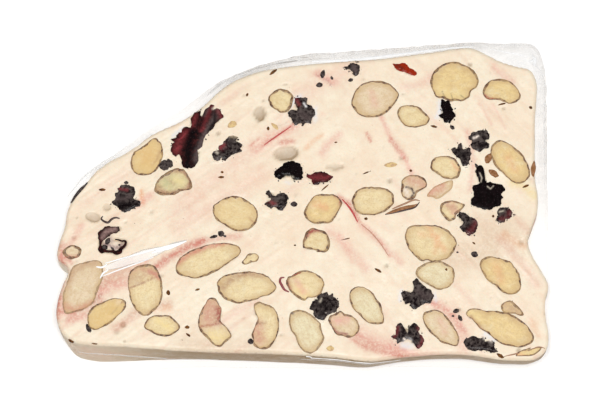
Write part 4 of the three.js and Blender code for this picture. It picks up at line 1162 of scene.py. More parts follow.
def ribbon_tree():
    """Flat closed strips that follow lines over a surface, as wide as the lines' points say."""
    tree, given, result = geometry_group("Ribbons", (
        ("Surface", "INPUT", "Object"), ("Step", "INPUT", "Float"), ("Sides", "INPUT", "Int"),
        ("Flatness", "INPUT", "Float"), ("Rise", "INPUT", "Float"),
    ))
    curve = node(tree, "GeometryNodeMeshToCurve", {"Mesh": given["Geometry"]})
    fine = node(tree, "GeometryNodeResampleCurve", {"Curve": curve.outputs[0], "Length": given["Step"]},
                mode="LENGTH")
    surface = node(tree, "GeometryNodeObjectInfo", {"Object": given["Surface"]}).outputs["Geometry"]
    place = node(tree, "GeometryNodeInputPosition").outputs[0]
    normal = node(tree, "GeometryNodeInputNormal").outputs[0]
    on = nearest_on(tree, surface, "FLOAT_VECTOR", place)
    up = nearest_on(tree, surface, "FLOAT_VECTOR", normal)
    lift = node(tree, "ShaderNodeVectorMath", {0: up, "Scale": given["Rise"]}, operation="SCALE")
    laid = node(tree, "ShaderNodeVectorMath", {0: on, 1: lift.outputs[0]}, operation="ADD")
    on_surface = node(tree, "GeometryNodeSetPosition", {"Geometry": fine.outputs[0], "Position": laid.outputs[0]})
    store_line = node(tree, "GeometryNodeStoreNamedAttribute",
                      {"Geometry": on_surface.outputs[0], "Name": "line", "Value": place},
                      data_type="FLOAT_VECTOR", domain="POINT")
    store_up = node(tree, "GeometryNodeStoreNamedAttribute",
                    {"Geometry": store_line.outputs[0], "Name": "up", "Value": up},
                    data_type="FLOAT_VECTOR", domain="POINT")
    profile = node(tree, "GeometryNodeCurvePrimitiveCircle", {"Resolution": given["Sides"], "Radius": 1.0})
    tube = node(tree, "GeometryNodeCurveToMesh", {
        "Curve": store_up.outputs[0], "Profile Curve": profile.outputs[0], "Scale": named_value(tree, "half"),
        "Fill Caps": True,
    })
    away = node(tree, "ShaderNodeVectorMath", {0: place, 1: named_value(tree, "line", "FLOAT_VECTOR")},
                operation="SUBTRACT")
    kept_up = named_value(tree, "up", "FLOAT_VECTOR")
    high = node(tree, "ShaderNodeVectorMath", {0: away.outputs[0], 1: kept_up}, operation="DOT_PRODUCT")
    drop = math_node(tree, "MULTIPLY", high.outputs["Value"], given["Flatness"])
    press = node(tree, "ShaderNodeVectorMath", {0: kept_up, "Scale": math_node(tree, "MULTIPLY", drop, -1.0)},
                 operation="SCALE")
    flat = node(tree, "GeometryNodeSetPosition", {"Geometry": tube.outputs[0], "Offset": press.outputs[0]})
    smooth = node(tree, "GeometryNodeSetShadeSmooth", {"Geometry": flat.outputs[0]})
    return close_tree(tree, smooth.outputs[0], given, result)


def bit_tree():
    """One bit on every point, turned and stretched as the point says."""
    tree, given, result = geometry_group("Bits", (("Bit", "INPUT", "Object"),))
    bit = node(tree, "GeometryNodeObjectInfo", {"Object": given["Bit"]}).outputs["Geometry"]
    turn = node(tree, "ShaderNodeCombineXYZ", {"Z": named_value(tree, "turn")}).outputs[0]
    copies = node(tree, "GeometryNodeInstanceOnPoints", {
        "Points": given["Geometry"], "Instance": bit, "Rotation": turn,
        "Scale": named_value(tree, "size", "FLOAT_VECTOR"),
    })
    return close_tree(tree, copies.outputs[0], given, result)


def inlay_tree():
    """Cut pieces let into a surface wherever a zone is marked, turned and sized at random."""
    tree, given, result = geometry_group("Inlays", (
        ("Zone", "INPUT", "String"), ("Kinds", "INPUT", "Collection"), ("Spacing", "INPUT", "Float"),
        ("Share from", "INPUT", "Float"), ("Share to", "INPUT", "Float"), ("Smallest", "INPUT", "Float"),
        ("Largest", "INPUT", "Float"), ("Seed", "INPUT", "Int"),
    ))
    zone = node(tree, "GeometryNodeInputNamedAttribute", {"Name": given["Zone"]}, data_type="FLOAT")
    inside = node(tree, "FunctionNodeCompare", {"A": zone.outputs["Attribute"], "B": 0.5},
                  operation="GREATER_THAN").outputs[0]
    spread = node(tree, "GeometryNodeDistributePointsOnFaces", {
        "Mesh": given["Geometry"], "Selection": inside, "Distance Min": given["Spacing"],
        "Density Max": 90000.0, "Seed": given["Seed"],
    }, distribute_method="POISSON")
    dice = node(tree, "FunctionNodeRandomValue", {"Seed": given["Seed"]}, data_type="FLOAT").outputs["Value"]
    above = node(tree, "FunctionNodeCompare", {"A": dice, "B": given["Share from"]}, operation="GREATER_EQUAL")
    below = node(tree, "FunctionNodeCompare", {"A": dice, "B": given["Share to"]}, operation="LESS_THAN")
    chosen = node(tree, "FunctionNodeBooleanMath", {0: above.outputs[0], 1: below.outputs[0]}, operation="AND")
    seeds = [math_node(tree, "ADD", given["Seed"], step) for step in (1, 2, 3)]
    angle = node(tree, "FunctionNodeRandomValue", {"Max": TURN, "Seed": seeds[0]}, data_type="FLOAT")
    spin = node(tree, "FunctionNodeAxisAngleToRotation", {"Axis": (0, 0, 1), "Angle": angle.outputs["Value"]})
    turned = node(tree, "FunctionNodeRotateRotation", {
        "Rotation": spread.outputs["Rotation"], "Rotate By": spin.outputs[0],
    }, rotation_space="LOCAL")
    size = node(tree, "FunctionNodeRandomValue", {
        "Min": given["Smallest"], "Max": given["Largest"], "Seed": seeds[1],
    }, data_type="FLOAT")
    pick = node(tree, "FunctionNodeRandomValue", {"Seed": seeds[2]}, data_type="INT")
    pick.inputs["Min"].default_value, pick.inputs["Max"].default_value = 0, 50
    kinds = node(tree, "GeometryNodeCollectionInfo", {
        "Collection": given["Kinds"], "Separate Children": True, "Reset Children": True,
    })
    copies = node(tree, "GeometryNodeInstanceOnPoints", {
        "Points": spread.outputs["Points"], "Selection": chosen.outputs[0], "Instance": kinds.outputs[0],
        "Pick Instance": True, "Instance Index": pick.outputs["Value"], "Rotation": turned.outputs[0],
        "Scale": size.outputs["Value"],
    })
    real = node(tree, "GeometryNodeRealizeInstances", {"Geometry": copies.outputs[0]})
    place = node(tree, "GeometryNodeInputPosition").outputs[0]
    normal = node(tree, "GeometryNodeInputNormal").outputs[0]
    on = nearest_on(tree, given["Geometry"], "FLOAT_VECTOR", place)
    up = nearest_on(tree, given["Geometry"], "FLOAT_VECTOR", normal)
    lift = node(tree, "ShaderNodeVectorMath", {0: up, "Scale": named_value(tree, "lift")}, operation="SCALE")
    laid = node(tree, "ShaderNodeVectorMath", {0: on, 1: lift.outputs[0]}, operation="ADD")
    flush = node(tree, "GeometryNodeSetPosition", {"Geometry": real.outputs[0], "Position": laid.outputs[0]})
    return close_tree(tree, flush.outputs[0], given, result)


def grown(name, carrier, tree, inputs):
    """Plain mesh piece that a tree makes from a carrier; the carrier is left without the modifier."""
    modifier = carrier.modifiers.new("grow", "NODES")
    modifier.node_group = tree
    for item in tree.interface.items_tree:
        if item.in_out == "INPUT" and item.name in inputs:
            modifier[item.identifier] = inputs[item.name]
    bpy.context.view_layer.update()
    depsgraph = bpy.context.evaluated_depsgraph_get()
    mesh = bpy.data.meshes.new_from_object(carrier.evaluated_get(depsgraph), depsgraph=depsgraph)
    carrier.modifiers.remove(modifier)
    if not mesh.vertices:
        raise RuntimeError(f"{name} came out empty")
    mesh.name = name
    piece = bpy.data.objects.new(name, mesh)
    bpy.context.scene.collection.objects.link(piece)
    return piece


def remove(*objects):
    """Delete helpers that only fed a tree."""
    for item in objects:
        bpy.data.objects.remove(item)


# The nougat

def drag(plan):
    """Marks that the knife dragged over the face: rising to the right on its left half, falling on its right."""
    total = np.zeros(len(plan))
    right = fade(plan[:, 0], -15, 25)
    for degrees, weight, seed in ((35, 1 - right, 21), (-48, right, 22)):
        turn = math.radians(degrees)
        way = plan @ np.array([[math.cos(turn), -math.sin(turn)], [math.sin(turn), math.cos(turn)]])
        long_marks = flat_cloud(way * (1 / 9, 1), 1.1, seed) + 0.6 * flat_cloud(way * (1 / 7, 1), 0.6, seed + 5)
        total += weight * long_marks
    return total


def pit_depths(plan, look):
    """Depth of the small round pits in the face."""
    dice = np.random.default_rng(look.seed)
    low, high = RIM.min(axis=0), RIM.max(axis=0)
    depth = np.zeros(len(plan))
    for _ in range(look.pits):
        middle = dice.uniform(low, high)
        radius = 0.35 + 0.9 * dice.random() ** 3
        deep = look.pit_depth / MM * (0.3 + 0.7 * dice.random()) * radius
        off = np.hypot(*((plan - middle) * (1, dice.uniform(0.8, 1.3))).T) / radius
        depth = np.maximum(depth, deep * (1 - fade(off, 0.3, 1.0)))
    return depth


def dent_depths(plan):
    """Depth of the larger hollows, deepest along the front edge of each."""
    depth = np.zeros(len(plan))
    for pixel, length, width, deep, degrees in DENTS:
        turn = math.radians(degrees)
        offset = plan - at_photo(pixel)
        offset = offset @ np.array([[math.cos(turn), -math.sin(turn)], [math.sin(turn), math.cos(turn)]])
        u, v = offset[:, 0] / (length / 2), offset[:, 1] / (width / 2)
        inside = 1 - fade(np.hypot(u, v), 0.82, 1.0)
        # The depth also sets the painted shade in the dent, darkest where it is deepest
        depth = np.maximum(depth, deep * inside * (0.65 - 0.35 * v + 0.2 * u))
    return depth


def pocket_depths(plan):
    """Depth of the pockets that the almonds and berries sit in, and how far these cover the face, 0 to 1."""
    depth, cover = np.zeros(len(plan)), np.zeros(len(plan))
    for name in node_names("almond") + node_names("berry")[:-1]:
        outline, middle, deep = top_outline(name)
        near = np.flatnonzero(np.all(np.abs(plan - middle) < 16, axis=1))
        offset = plan[near] - middle
        inside = reach(outline, np.arctan2(offset[:, 1], offset[:, 0]), middle) - np.hypot(*offset.T)
        depth[near] = np.maximum(depth[near], (deep + 0.3) * fade(inside, 0.6, 1.9))
        cover[near] = np.maximum(cover[near], fade(inside, -0.8, 0.1))
    line = smooth_line(at_photo([pixel for pixel, _ in CURLED_BERRY]), 60)
    curl = 1 - fade(off_line(plan, line), 0.1, 0.55)
    return np.maximum(depth, 1.6 * curl), np.maximum(cover, curl)


def top_outline(name):
    """An inlay's outline in the face, its middle and its depth; the outline is the photograph's if that is known."""
    found = corners(name)
    kind, number = name.split("_")
    seen_outlines = ALMOND_OUTLINES if kind == "almond" else dict(enumerate(BERRY_OUTLINES, start=1))
    if int(number) in seen_outlines:
        route = at_photo(seen_outlines[int(number)])[::-1]
    else:
        top = found[found[:, 2] > FACE - 0.01][:, :2]
        route = in_order(top, top.mean(axis=0))
    outline = smooth_loop(route, 128 if kind == "almond" else 160)
    return outline, outline.mean(axis=0), FACE - found[:, 2].min()


def eased(count):
    """Shares from 0 to 1, closer together near both ends."""
    share = np.linspace(0, 1, count + 1)
    return share - 0.35 * np.sin(TURN * share) / TURN


def along(line, shares):
    """Points at shares of a line's length."""
    lengths = np.concatenate([[0], np.cumsum(np.hypot(*np.diff(line, axis=0).T))])
    return np.column_stack([np.interp(shares * lengths[-1], lengths, line[:, axis]) for axis in (0, 1)])


def face_grid(across, deep):
    """Grid of plan points that fills the rim, from its four sides."""
    cuts = [int(np.argmin(np.hypot(*(RIM - at_photo(corner)).T))) for corner in SLAB_CORNERS]
    loop = np.roll(RIM, -cuts[0], axis=0)
    loop = np.vstack([loop, loop[:1]])
    cuts = [(cut - cuts[0]) % len(RIM) for cut in cuts] + [len(RIM)]
    front, right, back, left = (loop[start:end + 1] for start, end in zip(cuts, cuts[1:]))
    u, v = eased(across), eased(deep)
    front, back = along(front, u), along(back[::-1], u)
    right, left = along(right, v), along(left[::-1], v)
    u, v = u[:, None, None], v[None, :, None]
    ruled = (1 - v) * front[:, None] + v * back[:, None] + (1 - u) * left[None] + u * right[None]
    ends = (1 - u) * ((1 - v) * front[0] + v * back[0]) + u * ((1 - v) * front[-1] + v * back[-1])
    return ruled - ends


def grid_border(across, deep):
    """Rows and columns of a grid's border, anticlockwise from its front left corner."""
    rows = np.concatenate([np.arange(across), np.full(deep, across), np.arange(across, 0, -1), np.zeros(deep, int)])
    columns = np.concatenate([np.zeros(across, int), np.arange(deep), np.full(across, deep), np.arange(deep, 0, -1)])
    return rows, columns


def grid_faces(numbers, flip=False):
    """Faces of a grid of corner numbers, looking up, or down if flipped."""
    quads = np.stack([numbers[:-1, :-1], numbers[1:, :-1], numbers[1:, 1:], numbers[:-1, 1:]], axis=-1)
    quads = quads.reshape(-1, 4)
    return (quads[:, ::-1] if flip else quads).tolist()


GRID = (300, 180)
UPPER_LEVELS = (17.4, 16.3, 15.1, 13.9, 12.7, 11.5, 10.3, 9.1)
LOWER_LEVELS = (7.9, 6.7, 5.5, 4.3, 3.1, 2.0, 1.2, 0.7, 0.3, 0.1, 0.03)


def side_relief(points):
    """How far the side's streaks and pits move its points out."""
    streaks = cloud(points / (6, 6, 0.7), 1, 31) * 0.09 + cloud(points, 7, 32) * 0.14
    pits = fade(cloud(points, 1.7, 33), 0.5, 0.8) * 0.4
    return (streaks - pits) * fade(SIDE_TOP - points[:, 2], 0, 1.5) * fade(points[:, 2], 0, 1)


def body_mesh(look):
    """Corners, faces and attributes of the slab: face, side and underside in one closed mesh."""
    grid = face_grid(*GRID)
    plan = grid.reshape(-1, 2)
    pits = pit_depths(plan, look)
    dents = dent_depths(plan)
    pockets, cover = pocket_depths(plan)
    inner = fade(from_rim(plan), 0.2, 1.6)
    relief = (1 - cover) * (look.relief / MM * drag(plan) - pits - dents)
    top = face_height(plan) + inner * (relief - pockets)
    points = [np.column_stack([plan, top])]
    numbers = np.arange(len(plan)).reshape(grid.shape[:2])
    faces = grid_faces(numbers)

    rows, columns = grid_border(*GRID)
    edge = grid[rows, columns]
    angles = np.arctan2(edge[:, 1], edge[:, 0])
    upper = numbers[rows, columns]
    count = len(plan)
    for height in UPPER_LEVELS:
        level = around(angles, side_reach(angles, np.full(len(angles), height)), height)
        lower = count + np.arange(len(angles))
        faces += np.column_stack([upper, lower, np.roll(lower, -1), np.roll(upper, -1)]).tolist()
        points.append(level)
        upper, count = lower, count + len(level)

    # Below the middle the rings have half as many corners
    angles = angles[::2]
    lower = count + np.arange(len(angles))
    faces += np.column_stack([upper[::2], lower, upper[1::2]]).tolist()
    faces += np.column_stack([upper[1::2], lower, np.roll(lower, -1)]).tolist()
    faces += np.column_stack([upper[1::2], np.roll(lower, -1), np.roll(upper[::2], -1)]).tolist()
    for height in LOWER_LEVELS:
        points.append(around(angles, side_reach(angles, np.full(len(angles), height)), height))
        count += len(angles)
        if height != LOWER_LEVELS[-1]:
            following = lower + len(angles)
            faces += np.column_stack([lower, following, np.roll(following, -1), np.roll(lower, -1)]).tolist()
            lower = following

    under = grid[::2, ::2]
    flat = under.reshape(-1, 2)
    way = np.arctan2(flat[:, 1], flat[:, 0])
    shrink = side_reach(way, np.full(len(way), LOWER_LEVELS[-1])) / reach(RIM, way)
    base = np.column_stack([flat * shrink[:, None], np.zeros(len(flat))])
    rows, columns = grid_border(GRID[0] // 2, GRID[1] // 2)
    ids = count + np.arange(len(flat)).reshape(under.shape[:2])
    border = ids[rows, columns]
    rise = 0.26 + 0.08 * cloud(base, 6, 41) + 0.25 * fade(cloud(base, 1.8, 42), 0.45, 0.8)
    base[:, 2] = LOWER_LEVELS[-1] + rise * fade(from_rim(flat), 0.3, 3)
    faces += grid_faces(ids, flip=True)
    points.append(base)

    points = np.vstack(points)
    points, faces = welded(points, faces, lower, border)
    side = np.zeros(len(points), bool)
    side[len(plan):count] = True
    angle = np.arctan2(points[side, 1], points[side, 0])
    push = side_relief(points[side])
    points[side, 0] += push * np.cos(angle)
    points[side, 1] += push * np.sin(angle)
    # The last value is the share of painted shade in the pits and dents, from their depths
    return points, faces, len(plan), count, np.maximum(pits / 0.5, dents)


def welded(points, faces, kept, dropped):
    """Faces with the dropped corners' numbers changed for the kept ones, which lie at the same places."""
    new = np.arange(len(points))
    new[dropped] = kept
    used = np.ones(len(points), bool)
    used[dropped] = False
    order = np.cumsum(used) - 1
    return points[used], [[int(order[new[corner]]) for corner in face] for face in faces]


def body_stains(points, on_face):
    """Streaks as photographed on the face, and streaks of the same kind on the other sides."""
    marks = np.zeros((len(points), 4))
    marks[:on_face] = stains(points[:on_face, :2], STREAKS)
    rest = points[on_face:]
    broad = fade(cloud(rest / (2.2, 1, 0.6), 6, 61), 0.25, 0.75) * (0.5 - 0.35 * (rest[:, 1] < -40))
    marks[on_face:] = (*INKS["pink"], 0)
    marks[on_face:, 3] = broad
    wash = fade(drag(points[:on_face, :2] / 2.2), 0.25, 1.2) * 0.22
    cover = marks[:on_face, 3]
    total = 1 - (1 - cover) * (1 - wash)
    share = (cover / np.maximum(total, 1e-6))[:, None]
    marks[:on_face, :3] = marks[:on_face, :3] * share + np.array(INKS["pink"]) * (1 - share)
    marks[:on_face, 3] = total
    return marks


def make_body(look):
    """The slab itself, with marks for where cut pieces may show in its sides and underside."""
    points, faces, on_face, on_side, hollows = body_mesh(look)
    # Painted shade in the dents and pits
    hollow = np.zeros(len(points))
    hollow[:on_face] = np.clip(hollows, 0, 1)
    # Painted shade on the sides below the rim: full on the front side but weaker towards its left end and a little
    # weaker at its right end, half as strong on the other sides and underneath
    tan = fade(SIDE_TOP + 0.9 - points[:, 2], 0, 1.6) * (0.4 + 0.6 * fade(points[:, 0], -70, -30))
    tan *= 1 - 0.1 * fade(points[:, 0], 30, 70)
    tan[(points[:, 1] > -40) | (np.arange(len(points)) >= on_side)] *= 0.5
    zones = {"side_zone": np.zeros(len(points)), "under_zone": np.zeros(len(points))}
    middle_band = (points[:, 2] > 6.5) & (points[:, 2] < 12.5)
    front = (points[:, 1] < -40) & (np.abs(points[:, 0]) < 78)
    zones["side_zone"][middle_band & ~front] = 1
    low = points[:, 2] < 1.5
    low[:on_side] = False
    zones["under_zone"][low & (from_rim(points[:, :2]) > 6)] = 1
    return new_piece("nougat_body", points, faces, nougat_finish(look),
                     {"hollow": hollow, "tan": tan, **zones}, {"stain": body_stains(points, on_face)})


# The almonds

def long_axis(outline, middle):
    """Direction in which an outline is longest."""
    offset = outline - middle
    values, vectors = np.linalg.eigh(offset.T @ offset)
    return vectors[:, np.argmax(values)]


def almond_mesh(outline, middle, deep, look, seed, heights, rim=1):
    """Corners, faces and attributes of one cut almond; heights gives the face over plan points."""
    level = np.column_stack([outline, np.full(len(outline), seed * 3.7)])
    radius = np.hypot(*(outline - middle).T)
    out = (outline - middle) / radius[:, None]
    ripple = look.ripple / MM * max(1, rim) * (1.2 * cloud(level, 0.9, 71) + 0.8 * cloud(level, 2.2, 72))
    outline = outline + out * (ripple * min(1, radius.mean() / 5))[:, None]
    radius = np.hypot(*(outline - middle).T)
    width = look.skin_width / MM * max(1, rim) * np.clip(1 + 0.8 * cloud(level, 1.6, 73), 0.3, 1.9)
    strength = np.clip(1.05 + 0.5 * cloud(level, 4.5, 74), 0.5, 1) * min(1, rim)
    proud = look.proud / MM

    rings, skins, lifts = [middle[None]], [np.zeros(1)], [np.zeros(1)]

    def ring_out(share, lift, skin):
        rings.append(middle + (outline - middle) * np.broadcast_to(share, radius.shape)[:, None])
        lifts.append(np.broadcast_to(lift, radius.shape))
        skins.append(np.broadcast_to(skin, radius.shape))

    flesh = 1 - (width + 0.1) / radius
    for share in ALMOND_SHARES:
        ring_out(share * flesh, 0, 0)
    ring_out(flesh, 0, 0)
    ring_out(1 - width / radius, proud * 0.3, strength)
    ring_out(1 - width / radius / 2, proud, strength)
    ring_out(1, proud * 0.2, strength)
    ring_out(1, -0.4, strength)
    ring_out(0.93, -deep / 4, 1)
    ring_out(0.86, -deep / 2, 1)
    ring_out(0.5, -deep, 1)
    rings.append(middle[None])
    lifts.append(np.full(1, -deep))
    skins.append(np.ones(1))
    plan, lift, skin = np.vstack(rings), np.concatenate(lifts), np.concatenate(skins)
    on_top = lift > -0.05
    edge = fade(share_in(plan, outline, middle), 0.55, 1.0)
    grain = 0.04 * flat_cloud(plan, 1.6, 75) + 0.03 * flat_cloud(plan, 0.8, 76)
    lift = lift + np.where(on_top, 0.06 + grain * (1 - skin), 0)
    base = heights(plan) if heights else np.zeros(len(plan))
    base = np.where(on_top, base, base.mean())
    points, faces = shell([part for part in np.split(np.column_stack([plan, base + lift]),
                                                     np.cumsum([len(r) for r in rings])[:-1])])
    axis = long_axis(outline, middle)
    local = (plan - middle) @ np.array([[axis[0], -axis[1]], [axis[1], axis[0]]])
    return points, faces, {"skin": skin, "edge": edge}, lift, local * MM


def make_almonds(look):
    """A cut almond for every almond solid."""
    finishes = {name: almond_finish("almond_" + name, flesh, look)
                for name, flesh in (("cream", look.cream), ("golden", look.golden), ("rosy", look.rosy),
                                    ("pale", look.pale))}
    tones = dict.fromkeys(GOLDEN_ALMONDS, "golden") | dict.fromkeys(ROSY_ALMONDS, "rosy")
    tones |= dict.fromkeys(PALE_ALMONDS, "pale")
    for number, name in enumerate(node_names("almond"), start=1):
        outline, middle, deep = top_outline(name)
        points, faces, numbers, _, local = almond_mesh(outline, middle, deep, look, number, face_height,
                                                       RIMS.get(number, 1))
        piece = new_piece(f"cut_{name}", points, faces, finishes[tones.get(number, "cream")], numbers,
                          {"stain": stains(points[:, :2], VEILS)}, uv=local)
        settle(piece, "almond", name)


# The berries

def berry_mesh(outline, middle, deep, look, seed, heights):
    """Corners, faces, the lightness of its ridges and lifts of one dried berry, wrinkled all over."""
    level = np.column_stack([outline, np.full(len(outline), seed * 5.3)])
    ragged = look.ragged / MM * (cloud(level, 0.9, 81) + 0.8 * cloud(level, 0.45, 82))
    outline = middle + (outline - middle) * (1 + ragged / np.hypot(*(outline - middle).T))[:, None]
    rings, lifts = [middle[None]], [np.full(1, look.crown / MM)]
    for share in BERRY_SHARES:
        rings.append(middle + (outline - middle) * share)
        lifts.append(np.full(len(outline), look.crown / MM * (1 - share ** 2.6) + 0.12))
    for share, lift in ((0.99, -0.5), (0.88, -deep / 2), (0.55, -deep)):
        rings.append(middle + (outline - middle) * share)
        lifts.append(np.full(len(outline), lift))
    rings.append(middle[None])
    lifts.append(np.full(1, -deep))
    plan, lift = np.vstack(rings), np.concatenate(lifts)
    on_top = lift > -0.3
    place = np.column_stack([plan, np.full(len(plan), seed * 5.3)])
    folds = 1 - 2 * np.abs(cloud(place, 1.4, 83)) + 0.5 * cloud(place, 0.6, 84)
    wrinkle = look.wrinkle / MM * (folds - 0.4) * (1 - 0.7 * fade(share_in(plan, outline, middle), 0.8, 1.0))
    lift = lift + np.where(on_top, wrinkle, 0)
    base = heights(plan) if heights else np.zeros(len(plan))
    base = np.where(on_top, base, base.mean())
    points, faces = shell(np.split(np.column_stack([plan, base + lift]), np.cumsum([len(r) for r in rings])[:-1]))
    return points, faces, np.clip(0.5 + 0.5 * folds, 0, 1), lift


def rope(line, halves, heights, look, sides=12):
    """Corners and faces of a wrinkled rope of varying width that lies half sunk in the face."""
    run = np.gradient(line, axis=0)
    across = np.column_stack([run[:, 1], -run[:, 0]]) / np.hypot(*run.T)[:, None]
    angles = np.linspace(0, TURN, sides, endpoint=False)
    base = heights(line)
    points = (np.column_stack([line, base])[:, None] + halves[:, None, None] * (
        np.column_stack([across, np.zeros(len(line))])[:, None] * np.cos(angles)[None, :, None]
        + np.array([0, 0, 0.75]) * np.sin(angles)[None, :, None])).reshape(-1, 3)
    folds = cloud(points, 0.9, 85) + 0.6 * cloud(points, 0.5, 86)
    centre = np.repeat(np.column_stack([line, base]), sides, axis=0)
    points = centre + (points - centre) * (1 + 0.22 * folds[:, None])
    faces = []
    for step in range(len(line) - 1):
        faces += [face[::-1] for face in strip(step * sides, (step + 1) * sides, sides)]
    faces.append(list(range(sides)))
    faces.append(list(range(len(points) - 1, len(points) - sides - 1, -1)))
    return points, faces, np.clip(0.5 + 0.5 * folds, 0, 1)


def make_berries(look):
    """A dried berry for every berry solid; the last one is curled round."""
    finishes = {
        "grey": berry_finish("berry_grey", look.grey, look.deep),
        "black": berry_finish("berry_black", look.black, look.deep),
        "maroon": berry_finish("berry_maroon", look.maroon, look.deep),
        "red": berry_finish("berry_red", look.red, look.red),
    }
    names = node_names("berry")
    for number, name in enumerate(names[:-1], start=1):
        outline, middle, deep = top_outline(name)
        points, faces, ridge, _ = berry_mesh(outline, middle, deep, look, number, face_height)
        tone = "black" if number in BLACK_BERRIES else "maroon" if number in MAROON_BERRIES else "grey"
        slot = "berry"
        if number == 8:
            tone, slot = "red", "red_berry"
        piece = new_piece(f"dried_{name}", points, faces, finishes[tone], {"ridge": ridge},
                          {"stain": stains(points[:, :2], BERRY_MARKS)})
        settle(piece, slot, name)
    route = at_photo([pixel for pixel, _ in CURLED_BERRY])
    widths = np.array([half for _, half in CURLED_BERRY])
    line = smooth_line(np.column_stack([route, widths]), 90)
    points, faces, ridge = rope(line[:, :2], line[:, 2], face_height, look)
    piece = new_piece(f"dried_{names[-1]}", points, faces, finishes["maroon"], {"ridge": ridge},
                      {"stain": stains(points[:, :2], BERRY_MARKS)})
    settle(piece, "berry", names[-1])


# The small bits and skins in the face

def bit_shape():
    """A rough pebble of radius half a metre, to be scaled to each bit's size."""
    bpy.ops.mesh.primitive_ico_sphere_add(subdivisions=3, radius=0.5)
    bit = bpy.context.object
    place = np.array([corner.co for corner in bit.data.vertices])
    rough = 1 + 0.18 * cloud(place, 0.3, 91) + 0.1 * cloud(place, 0.14, 92)
    bit.data.vertices.foreach_set("co", np.ravel(place * rough[:, None]))
    bit.data.shade_smooth()
    return bit


def point_carrier(name, points, numbers, vectors):
    """Loose points in metres that carry numbers and vectors for a tree."""
    mesh = bpy.data.meshes.new(name)
    mesh.from_pydata((points * MM).tolist(), [], [])
    for label, values in numbers.items():
        mesh.attributes.new(label, "FLOAT", "POINT").data.foreach_set("value", values)
    for label, values in vectors.items():
        mesh.attributes.new(label, "FLOAT_VECTOR", "POINT").data.foreach_set("vector", np.ravel(values))
    carrier = bpy.data.objects.new(name, mesh)
    bpy.context.scene.collection.objects.link(carrier)
    return carrier


def fine_specks(look, count=90):
    """Tiny specks of skin all over the face: their plan points, sizes and turns."""
    dice = np.random.default_rng(look.seed + 1)
    plan = dice.uniform(RIM.min(axis=0), RIM.max(axis=0), (count * 2, 2))
    plan = plan[share_in(plan, RIM, (0, 0)) < 0.96][:count]
    sizes = 0.12 + 0.2 * dice.random(len(plan)) ** 3
    return plan, np.column_stack([sizes, sizes * dice.uniform(0.5, 1, len(plan))]), dice.uniform(0, TURN, len(plan))


def crumbs(look):
    """Crumbs that lie close round the berries: their plan points, sizes and turns."""
    dice = np.random.default_rng(17)
    plan = []
    for name in [name for name in node_names("berry")[:-1] if name != "berry_08"]:
        outline, middle, _ = top_outline(name)
        at = outline[dice.integers(0, len(outline), look.crumbs)]
        away = (at - middle) / np.hypot(*(at - middle).T)[:, None]
        plan.append(at + away * dice.uniform(0.1, 0.9, (look.crumbs, 1)))
    plan = np.vstack(plan)
    sizes = 0.16 + 0.5 * dice.random(len(plan)) ** 2.5
    return plan, np.column_stack([sizes, sizes * dice.uniform(0.4, 1, len(plan))]), dice.uniform(0, TURN, len(plan))


def make_bits(nougat, almonds, berries):
    """Bits of skin, nut and berry, one piece for each kind."""
    finishes = {
        "skin": fleck_finish("skin_bits", almonds.skin, almonds.skin_dark),
        "husk": fleck_finish("husk_bits", INKS["brown"], almonds.skin),
        "flesh": fleck_finish("nut_bits", almonds.golden, INKS["tan"]),
        "berry": fleck_finish("berry_bits", berries.grey, berries.deep),
    }
    tree = bit_tree()
    bit = bit_shape()
    for kind, slot in (("skin", "almond"), ("husk", "almond"), ("flesh", "almond"), ("berry", "berry")):
        rows = [row for row in BITS if row[0] == kind]
        plan = at_photo([row[1] for row in rows])
        sizes = np.array([row[2:4] for row in rows], float)
        turns = np.radians([row[4] for row in rows])
        if kind in ("skin", "berry"):
            more_plan, more_sizes, more_turns = fine_specks(nougat) if kind == "skin" else crumbs(berries)
            plan, sizes = np.vstack([plan, more_plan]), np.vstack([sizes, more_sizes])
            turns = np.concatenate([turns, more_turns])
        thick = np.clip(0.35 * sizes.min(axis=1), 0.08, 0.7)
        height = face_height(plan) - 0.12 * thick
        carrier = point_carrier("bit_places", np.column_stack([plan, height]), {"turn": turns},
                                {"size": np.column_stack([sizes, thick]) * MM})
        piece = grown(f"{kind}_bits", carrier, tree, {"Bit": bit, "Finish": finishes[kind]})
        remove(carrier)
        settle(piece, slot)
    remove(bit)


def line_carrier(name, lines, numbers, colours):
    """Chains of points in metres that carry a half width, numbers and a colour for a tree."""
    points, edges, start = [], [], 0
    for line in lines:
        points.append(line)
        edges += [(start + step, start + step + 1) for step in range(len(line) - 1)]
        start += len(line)
    mesh = bpy.data.meshes.new(name)
    mesh.from_pydata((np.vstack(points) * MM).tolist(), edges, [])
    for label, values in numbers.items():
        mesh.attributes.new(label, "FLOAT", "POINT").data.foreach_set("value", np.concatenate(values))
    for label, values in colours.items():
        mesh.attributes.new(label, "FLOAT_COLOR", "POINT").data.foreach_set("color", np.ravel(np.vstack(values)))
    carrier = bpy.data.objects.new(name, mesh)
    bpy.context.scene.collection.objects.link(carrier)
    return carrier


def pointed(count, end, middle):
    """Half widths along a strip that is thickest at its middle."""
    return end + (middle - end) * np.sin(np.linspace(0, math.pi, count)) ** 0.7


def make_skins(tree, body):
    """Thin skins that stand on edge in the face."""
    lines, halves, inks = [], [], []
    for ink, half, *pixels in SKINS:
        line = smooth_line(at_photo(pixels), 24)
        lines.append(np.column_stack([line, face_height(line)]))
        halves.append(pointed(24, half * 0.4, half) * MM)
        inks.append(np.tile((*INKS[ink], 1), (24, 1)))
    carrier = line_carrier("skin_lines", lines, {"half": halves}, {"ink": inks})
    piece = grown("skin_slivers", carrier, tree, {
        "Surface": body, "Step": 0.25 * MM, "Sides": 8, "Flatness": 0.4, "Rise": 0.02 * MM,
        "Finish": painted_finish("skin_slivers"),
    })
    remove(carrier)
    settle(piece, "almond")


# Cut pieces in the sides and the underside

